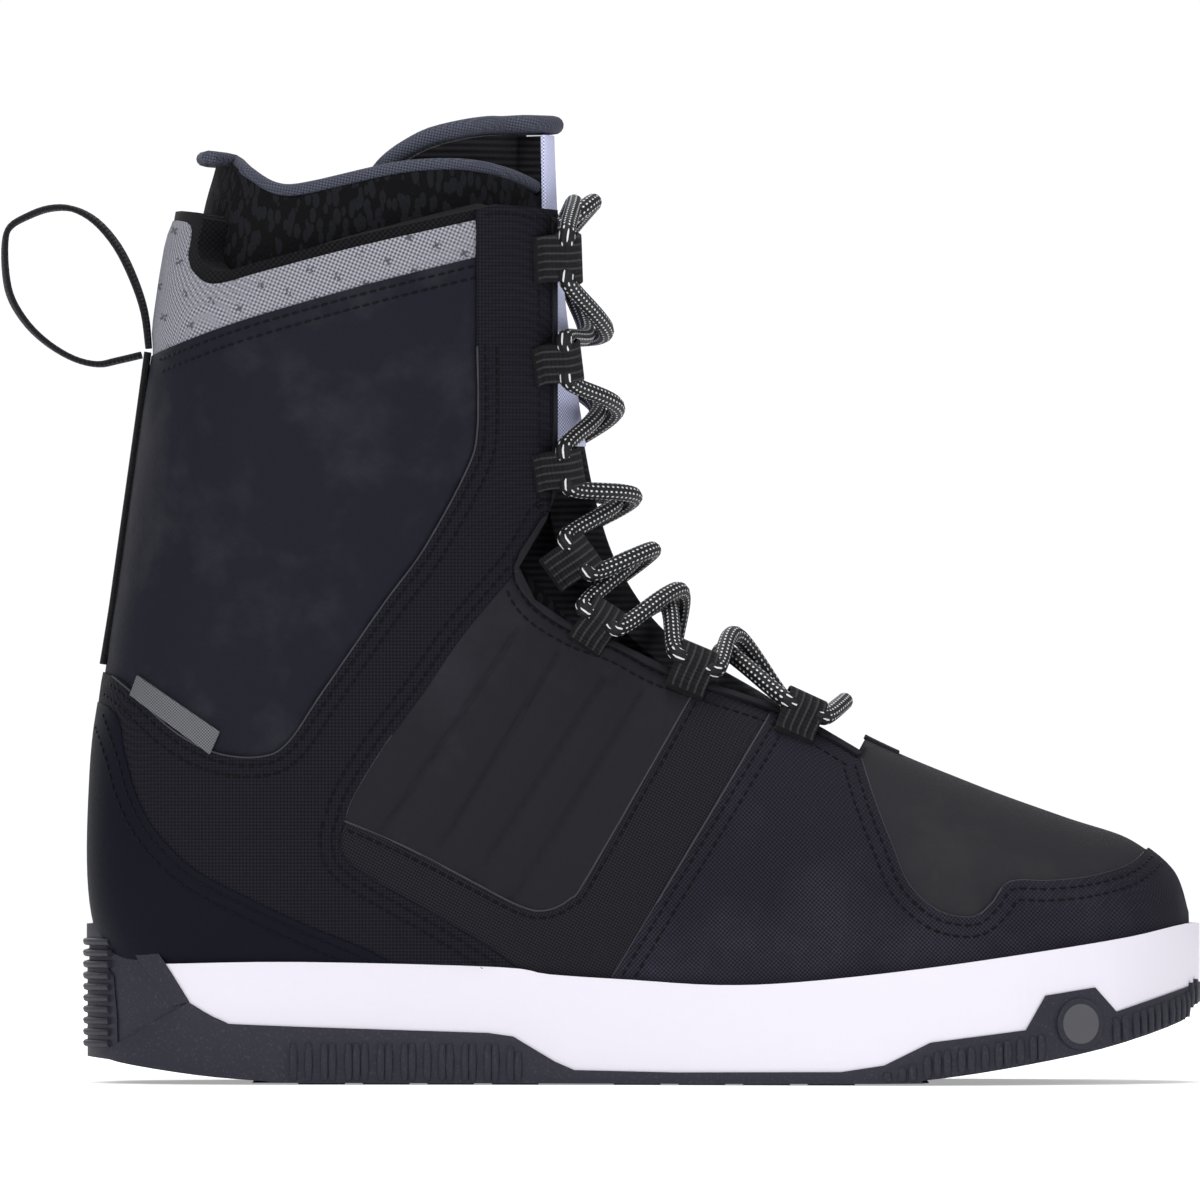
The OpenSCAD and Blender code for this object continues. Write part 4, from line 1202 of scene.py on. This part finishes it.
class BOOT_OT_discs(bpy.types.Operator):
    """Makes the plain round insert and its raised ring on each side of the toe."""

    bl_idname = "boot.discs"
    bl_label = "Side discs"

    def execute(self, context):
        for side, word in ((-1, "lateral"), (1, "medial")):
            spots = plan_spots(132, 134, side, 0.1)
            p, n = spots[len(spots) // 2]
            facing = Vector((n[0], n[1], 0)).to_track_quat("Z", "Y").to_euler()
            for name, radius, rise, finish, nodes in (
                    ("side_insert", 5.6, 1.9, M["disc"], [f"disc_{word}"]),
                    ("side_ring", 7.2, 1.6, M["rubber"], [])):
                bpy.ops.mesh.primitive_cylinder_add(
                    vertices=64, radius=radius * MM, depth=INSERT_DEPTH * MM, rotation=facing,
                    location=((p[0] + n[0] * (rise - INSERT_DEPTH / 2)) * MM,
                              (p[1] + n[1] * (rise - INSERT_DEPTH / 2)) * MM,
                              INSERT_HEIGHT * MM))
                o = context.object
                bpy.ops.object.transform_apply(location=True, rotation=True, scale=True)
                modify(o, "BEVEL", width=0.3 * MM, segments=3, limit_method="ANGLE")
                soften(o, 35)
                dress(o, f"{name}_{word}", finish, nodes)
        return {"FINISHED"}


# ---- Upper ----
def grooved(o):
    """Four slanting grooves with softly raised ribs between them."""
    for _ in range(2):
        edit(o, lambda: bpy.ops.mesh.subdivide(number_cuts=1))
    near = distance_to(flat(o), GROOVES)
    push(o, 0.55 * (1 - np.exp(-(near / 5.0) ** 2)) - 0.75 * np.exp(-(near / 0.75) ** 2))


def eyestay_band():
    """The folded edge along the throat."""
    line = np.array(smooth([(-11.6, 241.5)] + THROAT[1:], 3))
    t = np.gradient(line, axis=0)
    t /= np.linalg.norm(t, axis=1)[:, None]
    n = np.stack([t[:, 1], -t[:, 0]], 1)
    return [tuple(q) for q in line + n * -3] + [tuple(q) for q in (line + n * 1.3)[::-1]]


class BOOT_OT_upper(bpy.types.Operator):
    """Makes the sewn panels of the upper."""

    bl_idname = "boot.upper"
    bl_label = "Upper"

    def execute(self, context):
        puff = context.scene.boot_sizes.puff
        toe = smooth(TOE_LINE)
        panel("toe_cap", toe + [(120, 130), (75, 140)], 0.05, 1.6, M["toe"],
              ["toe_panel"], puff=0.3)
        panel("woven_vamp", VAMP_SEAM + toe + [(190, 70), (190, 0), (-14, 0)], 0.8, 1.6,
              M["vamp"], ["vamp"], puff=0.25, roll=8)
        counter = smooth(COUNTER_EDGE)
        panel("counter", counter + [(-44, 0), (-170, 0)], 1.35, 1.6, M["counter"],
              ["heel_counter"], puff=0.2)
        panel("knit_collar", smooth(COLLAR_TOP) + smooth(ANKLE_TOP)[::-1], -0.2, 2.0,
              M["knit"], ["collar_mesh"], puff=puff, roll=4)
        for side, word in ((-1, "lateral"), (1, "medial")):
            low, front = smooth(STRAP_LOW), smooth(STRAP_FRONT)
            panel(f"quarter_{word}_weave", low + VAMP_SEAM + [(29, 130)] + RIB_EDGE[::-1],
                  0.5, 1.6, M["quarter"], [f"quarter_{word}"], side)
            panel(f"ribbed_midfoot_{word}", front + smooth(RIB_EDGE) + [(29, 150), (-10, 165)],
                  0.05, 1.4, M["midfoot"], [f"midfoot_panel_{word}"],
                  side, shape=grooved)
            panel(f"strap_{word}",
                  [(-34, 243.6), (-28, 245), (-5, 243.2), (-5, 165)] + front + low
                  + [(-20, 0), (-44, 0)] + counter[::-1] + smooth(ANKLE_LOW),
                  1.0, 1.6, M["weave"], [f"strap_overlay_{word}"], side,
                  puff=0.3, roll=4)
            panel(f"ankle_{word}", smooth(ANKLE_LOW) + smooth(ANKLE_TOP), 0.2, 1.6,
                  M["nubuck"], [f"ankle_panel_{word}"], side, puff=0.5,
                  roll=7)
        return {"FINISHED"}


class BOOT_OT_collar(bpy.types.Operator):
    """Makes the rim of the shell's lining, above the knit collar."""

    bl_idname = "boot.collar"
    bl_label = "Collar rim"

    def execute(self, context):
        o = shell(-0.6)
        cut(o, prism(smooth(BINDING_TOP, 4) + smooth([(x, z - 2.5) for x, z in COLLAR_TOP],
                                                     4)[::-1]))
        drop_cuts(o)
        thicken(o, 8.2, 1.3, 4)
        dress(o, "collar_rim", M["lining"], ["collar_binding"])
        return {"FINISHED"}


class BOOT_OT_liner(bpy.types.Operator):
    """Makes the padded liner and the piping on its top edge."""

    bl_idname = "boot.liner"
    bl_label = "Liner"

    def execute(self, context):
        top = smooth(LINER_TOP, 5)
        o = full_last(LINER_OUT)
        mouth = [(-11.6, 239), (40, 239), (110, 140), (77, 101), (73, 93), (49, 106),
                 (20, 115.5), (-7, 127.5), (-22.5, 144), (-15, 157), (-13, 200)]
        cut(o, prism(mouth, -37, 37), "DIFFERENCE")
        cut(o, prism([(-170, -20), (190, -20), (190, 150)] + top + [(-170, 258)]))
        drop_cuts(o)
        near = distance_to(flat(o), [top])
        push(o, 1.2 * (1 - np.exp(-(near / 9.0) ** 2)) - 0.2)
        thicken(o, LINER_T, 1.6, 4)
        dress(o, "padded_liner", M["liner"], ["liner"])
        rim = [(-14, 246.9), (-20, 250.2), (-28, 253.2), (-39, 255), (-55, 254.2),
               (-71.5, 250.6), (-86, 247.8), (-94, 250.2), (-102, 256.4)]
        depth = LINER_OUT - LINER_T / 2 + 1.2
        near = [on_last(p, depth, -1) + (0, 0, 1.1) for p in smooth(rim, 4)]
        back = [np.array([-106.5 - 4.5 * math.cos(a), 35 * math.sin(a), 258.4])
                for a in np.radians(range(-65, 66, 10))]
        far = [p * (1, -1, 1) for p in near][::-1]
        path = smooth(np.array(near[::2] + back + far[::2]), 3)
        o = tube(path, 1.9, 12, "liner_piping")
        dress(o, "liner_piping", M["piping"], ["liner_binding"])
        return {"FINISHED"}


# ---- Tongue ----
class BOOT_OT_tongue(bpy.types.Operator):
    """Makes the tongue's wings, padded middle, white face and piping."""

    bl_idname = "boot.tongue"
    bl_label = "Tongue"

    def execute(self, context):
        o = full_last(WING_OUT, WING_TUCK)
        cut(o, prism(smooth(TONGUE_TOP, 4) + smooth(TONGUE_REAR, 4) + [(83, 70), (89, 140),
                                                                       (30, 270)]))
        drop_cuts(o)
        thicken(o, WING_T, 0.9, 3)
        dress(o, "tongue_wings", M["ribbed"], ["tongue"], TONGUE)
        o = full_last(-TONGUE_DROP - 0.9)
        front = [(-2, 264.5), (-18, 264.6), (-19, 180), (-17, 160), (-22.5, 144), (-5, 122),
                 (25, 104), (66, 82), (76, 140), (30, 270)]
        cut(o, prism(front, -20.5, 20.5))
        drop_cuts(o)
        co, _ = vertex_arrays(o)
        edge = np.clip((20.5 - np.abs(co[:, 1] / MM)) / 6, 0, 1)
        push(o, 0.9 * np.sqrt(edge) - 0.6)
        thicken(o, 7.5, 1.5, 4)
        dress(o, "tongue_pad", M["ribbed"], [], TONGUE)
        o = full_last(-TONGUE_DROP + 0.05)
        cut(o, prism([(30, 264.6), (-18.5, 264.9), (-17.6, 256), (-15.8, 246.7), (-14, 236),
                      (-13.4, 178), (30, 178)], -20.8, 20.8))
        drop_cuts(o)
        thicken(o, 1.2, 0.3)
        dress(o, "tongue_front", M["face"], ["tongue_face"], TONGUE)
        depth = WING_OUT - WING_T / 2 + 1
        rim = [(-27, 267), (-34, 266.6), (-47, 263.6), (-56, 258.6), (-61, 254),
               (-64, 248), (-65.5, 240)]
        near = [on_last(p, depth, -1) * (1, WING_TUCK, 1) + (0, 0, 0.6) for p in
                smooth(rim, 3)]
        ahead = [np.array([-12.5 - 9 * abs(y / 24) ** 3, y, 267.9]) for y in range(-24, 25, 6)]
        far = [p * (1, -1, 1) for p in near]
        path = smooth(np.array(near[::-1][::2] + ahead + far[::2]), 3)
        o = tube(path, 2.5, 14, "tongue_piping")
        dress(o, "tongue_piping", M["piping"], ["tongue_binding"], TONGUE)
        return {"FINISHED"}


# ---- Webbing at the back ----
PULL_PATH = [(-126.2, 205.4), (-127.4, 215.5), (-130.5, 225), (-135, 234), (-141, 241),
             (-147.5, 244.5), (-154, 244.6), (-160, 242.5), (-165, 239.5), (-166.45, 235),
             (-166.2, 226), (-164.5, 219), (-160, 212), (-154, 206.5), (-147, 202.5),
             (-140.5, 201), (-135, 202), (-128.2, 203.6)]


class BOOT_OT_pull(bpy.types.Operator):
    """Makes the pull loop, the webbing up the back, the label tab and the throat patch."""

    bl_idname = "boot.pull"
    bl_label = "Pull loop"

    def execute(self, context):
        path = smooth(PULL_PATH, 4)
        points = [(x, 0, z) for x, z in path]
        o = band(points, [(0.05 * math.sin(i / 9), 1, 0) for i in range(len(points))], 17.6, 1.7)
        dress(o, "webbing_pull_loop", M["webbing"], ["pull_loop"], PULL)
        rows = [r for r in np.arange(11.4, 13.45, 0.05)]
        line = [section(s, 1.5)[1] for s in rows]
        line = [p for p in line if 116 < p[1] < 204.5]
        o = band([(x, 0, z) for x, z in line], [(0, 1, 0)] * len(line), 18, 1.8)
        dress(o, "webbing_back", M["webbing"], ["back_strip"])
        o = shell(1.5)
        cut(o, prism([(-129, 114), (-105.7, 98.3), (-108.5, 92), (-131, 108.5)]))
        drop_cuts(o, -1)
        thicken(o, 1.0, 0.2)
        dress(o, "label_tab", M["label"], ["rear_label"])
        o = full_last(1.2)
        cut(o, prism([(74.5, 120), (74.5, 89), (77, 86.5), (82, 85.5), (84, 87), (84, 120)],
                     -7, 7))
        drop_cuts(o)
        thicken(o, 1.2, 0.4)
        dress(o, "throat_tab", M["toe"], ["throat_patch"])
        return {"FINISHED"}


class BOOT_OT_eyestay(bpy.types.Operator):
    """Makes the tape along the throat."""

    bl_idname = "boot.eyestay"
    bl_label = "Eyestay"

    def execute(self, context):
        for side, word in ((-1, "lateral"), (1, "medial")):
            o = full_last(1.9)
            cut(o, prism(THROAT + THROAT_FRONT), "DIFFERENCE")
            cut(o, prism(eyestay_band()))
            drop_cuts(o, side)
            thicken(o, 1.2, 0.3)
            dress(o, f"throat_tape_{word}", M["midfoot"],
                  [f"eyestay_{word}"])
            SKINS.append(o)
        return {"FINISHED"}


# ---- Stitching ----
def beside(line, d):
    """A line of the side view moved sideways by d, to its left where d is positive."""
    p = np.array(line, float)
    t = np.gradient(p, axis=0)
    t /= np.linalg.norm(t, axis=1)[:, None]
    return p + np.stack([-t[:, 1], t[:, 0]], 1) * d


def dense(line, step=0.4):
    """A line with evenly spaced points."""
    p = np.array(line, float)
    run = np.concatenate([[0], np.cumsum(np.linalg.norm(np.diff(p, axis=0), axis=1))])
    at = np.arange(0, run[-1], step)
    return np.stack([np.interp(at, run, p[:, 0]), np.interp(at, run, p[:, 1])], 1)


SEAM_FIRST, SEAM_SECOND = 2.2, 5.4
BEAD_R = 0.28


def seams():
    """Each seam: its line in the side view, and how far beside it the rows run."""
    throat = smooth([(-11.6, 240), (-11.6, 166), (-15, 157), (-22.5, 144)], 6)
    arch = smooth([(-22.5, 144), (-18, 135), (-7, 127.5), (5, 123), (20, 115.5), (49, 106),
                   (62, 99.5), (72, 93.4)], 6)
    pair = (SEAM_FIRST, SEAM_SECOND)
    minus = (-SEAM_FIRST, -SEAM_SECOND)
    toe = smooth(TOE_LINE[1:-1], 6)
    return [
        (throat, minus), (arch, minus),
        (smooth(ANKLE_LOW[1:-1], 6), minus), (smooth(STRAP_FRONT, 6), minus),
        (smooth(STRAP_LOW[:-1], 6), minus), (smooth(COUNTER_EDGE[1:-1], 6), minus),
        (smooth(ANKLE_TOP[:-1], 6), pair), (smooth(RIB_EDGE, 6), (-2.0,)),
        ([(3.5, 30), (48, 104)], minus), (toe, minus),
        (smooth(SHAFT_TOP, 5), (-2.4,)),
    ]


def edge_highlights():
    """The raw edges of the panels, where a lighter bead paints their highlight."""
    return [smooth(RIB_EDGE, 6), [(3.5, 30), (48, 104)], smooth(TOE_LINE[1:-1], 6),
            smooth(STRAP_FRONT, 6), smooth(ANKLE_LOW[1:-1], 6)]


def stitch_template(pitch, thread):
    """One stitch, as a flattened bead."""
    bpy.ops.mesh.primitive_ico_sphere_add(subdivisions=1, radius=1)
    o = bpy.context.object
    edit(o, lambda: bpy.ops.mesh.subdivide(number_cuts=1))
    for v in o.data.vertices:
        d = v.co.normalized()
        v.co = (d.x * 0.4 * pitch * MM, d.y * thread * MM / 2, d.z * thread * MM / 2)
    return o


class BOOT_OT_stitching(bpy.types.Operator):
    """Sews the rows of stitches along the seams, and lays a bead of painted highlight on the raw
    edges.
    """

    bl_idname = "boot.stitching"
    bl_label = "Stitching"

    def execute(self, context):
        size = context.scene.boot_sizes
        verts, faces = [], []
        for o in SKINS:
            base = len(verts)
            verts += [v.co.copy() for v in o.data.vertices]
            faces += [[base + i for i in f.vertices] for f in o.data.polygons]
        tree = BVHTree.FromPolygons(verts, faces)
        for side, word in ((-1, "lateral"), (1, "medial")):
            places = []
            for line, rows in seams():
                for d in rows:
                    places += self.row(tree, dense(beside(line, d)), side, size.stitch_pitch)
            o = scatter(stitch_template(size.stitch_pitch, size.thread_d), places,
                        f"stitches_{word}")
            dress(o, f"stitches_{word}", M["thread"], [])
            # the beads carry a lighter colour as a painted highlight along the raw edges
            beads = [self.bead(tree, dense(line, 1.2), side) for line in edge_highlights()]
            dress(joined(beads), f"edge_highlights_{word}", M["edge"], [])
        return {"FINISHED"}

    def bead(self, tree, line, side):
        """A thin raised bead on the panels, along a line of the side view."""
        points = []
        for x, z in line:
            start = Vector((x * MM, side * 0.2, z * MM))
            hit, _, _, _ = tree.ray_cast(start, Vector((0, -side, 0)), 0.2)
            if hit is not None:
                points.append(np.array(hit) / MM)
        return tube(points, BEAD_R, 6, "bead")

    def row(self, tree, line, side, pitch):
        places, last, run = [], None, 0.0
        for x, z in line:
            start = Vector((x * MM, side * 0.2, z * MM))
            hit, normal, _, _ = tree.ray_cast(start, Vector((0, -side, 0)), 0.2)
            if hit is None or (last is not None and (hit - last).length > 2 * MM):
                last = hit
                continue
            if last is not None:
                run += (hit - last).length
                if run >= pitch * MM:
                    run = 0.0
                    t = (hit - last).normalized()
                    n = normal if normal.y * side > 0 else -normal
                    b = n.cross(t).normalized()
                    places.append(frame_at((hit + n * 0.12 * MM) / MM, t, b, t.cross(b)))
            last = hit
        return places


class BOOT_OT_inside(bpy.types.Operator):
    """Gives the CAD parts that stay their finishes."""

    bl_idname = "boot.inside"
    bl_label = "Inner parts"

    def execute(self, context):
        finishes = {
            "tread_lugs": "rubber", "shank": "steel", "heel_cushion": "cushion",
            "lasting_board": "board", "footbed": "footbed", "shell_lining_lateral": "lining",
            "shell_lining_medial": "lining", "heel_stiffener": "stiffener",
            "toe_puff": "stiffener", "aglets": "aglet"}
        for node, finish in finishes.items():
            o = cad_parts[node]
            o.data.materials.clear()
            o.data.materials.append(M[finish])
        drop_shells()
        return {"FINISHED"}


OPERATORS = [BOOT_OT_stage, BOOT_OT_lace, BOOT_OT_loops, BOOT_OT_sole, BOOT_OT_discs,
             BOOT_OT_upper, BOOT_OT_collar, BOOT_OT_liner, BOOT_OT_tongue, BOOT_OT_pull,
             BOOT_OT_eyestay, BOOT_OT_stitching, BOOT_OT_inside]


class BOOT_PT_panel(bpy.types.Panel):
    """Lists the boot's pieces in the order they are made."""

    bl_label = "Boot"
    bl_idname = "BOOT_PT_panel"
    bl_space_type = "VIEW_3D"
    bl_region_type = "UI"
    bl_category = "Boot"

    def draw(self, context):
        for properties in (context.scene.boot_sizes, context.scene.boot_colours):
            for name in properties.bl_rna.properties.keys()[2:]:
                self.layout.prop(properties, name)
        for operator in OPERATORS:
            self.layout.operator(operator.bl_idname)


CLASSES = [BootSizes, BootColours, *OPERATORS, BOOT_PT_panel]


def register():
    """Adds the boot's classes and settings to Blender."""
    for item in CLASSES:
        bpy.utils.register_class(item)
    bpy.types.Scene.boot_sizes = PointerProperty(type=BootSizes)
    bpy.types.Scene.boot_colours = PointerProperty(type=BootColours)


def unregister():
    """Takes them away again."""
    del bpy.types.Scene.boot_colours
    del bpy.types.Scene.boot_sizes
    for item in reversed(CLASSES):
        bpy.utils.unregister_class(item)


def main():
    """Makes every piece in order."""
    register()
    make_materials(bpy.context.scene.boot_colours)
    for operator in OPERATORS:
        group_name, name = operator.bl_idname.split(".")
        getattr(getattr(bpy.ops, group_name), name)()


if __name__ == "__main__":
    main()
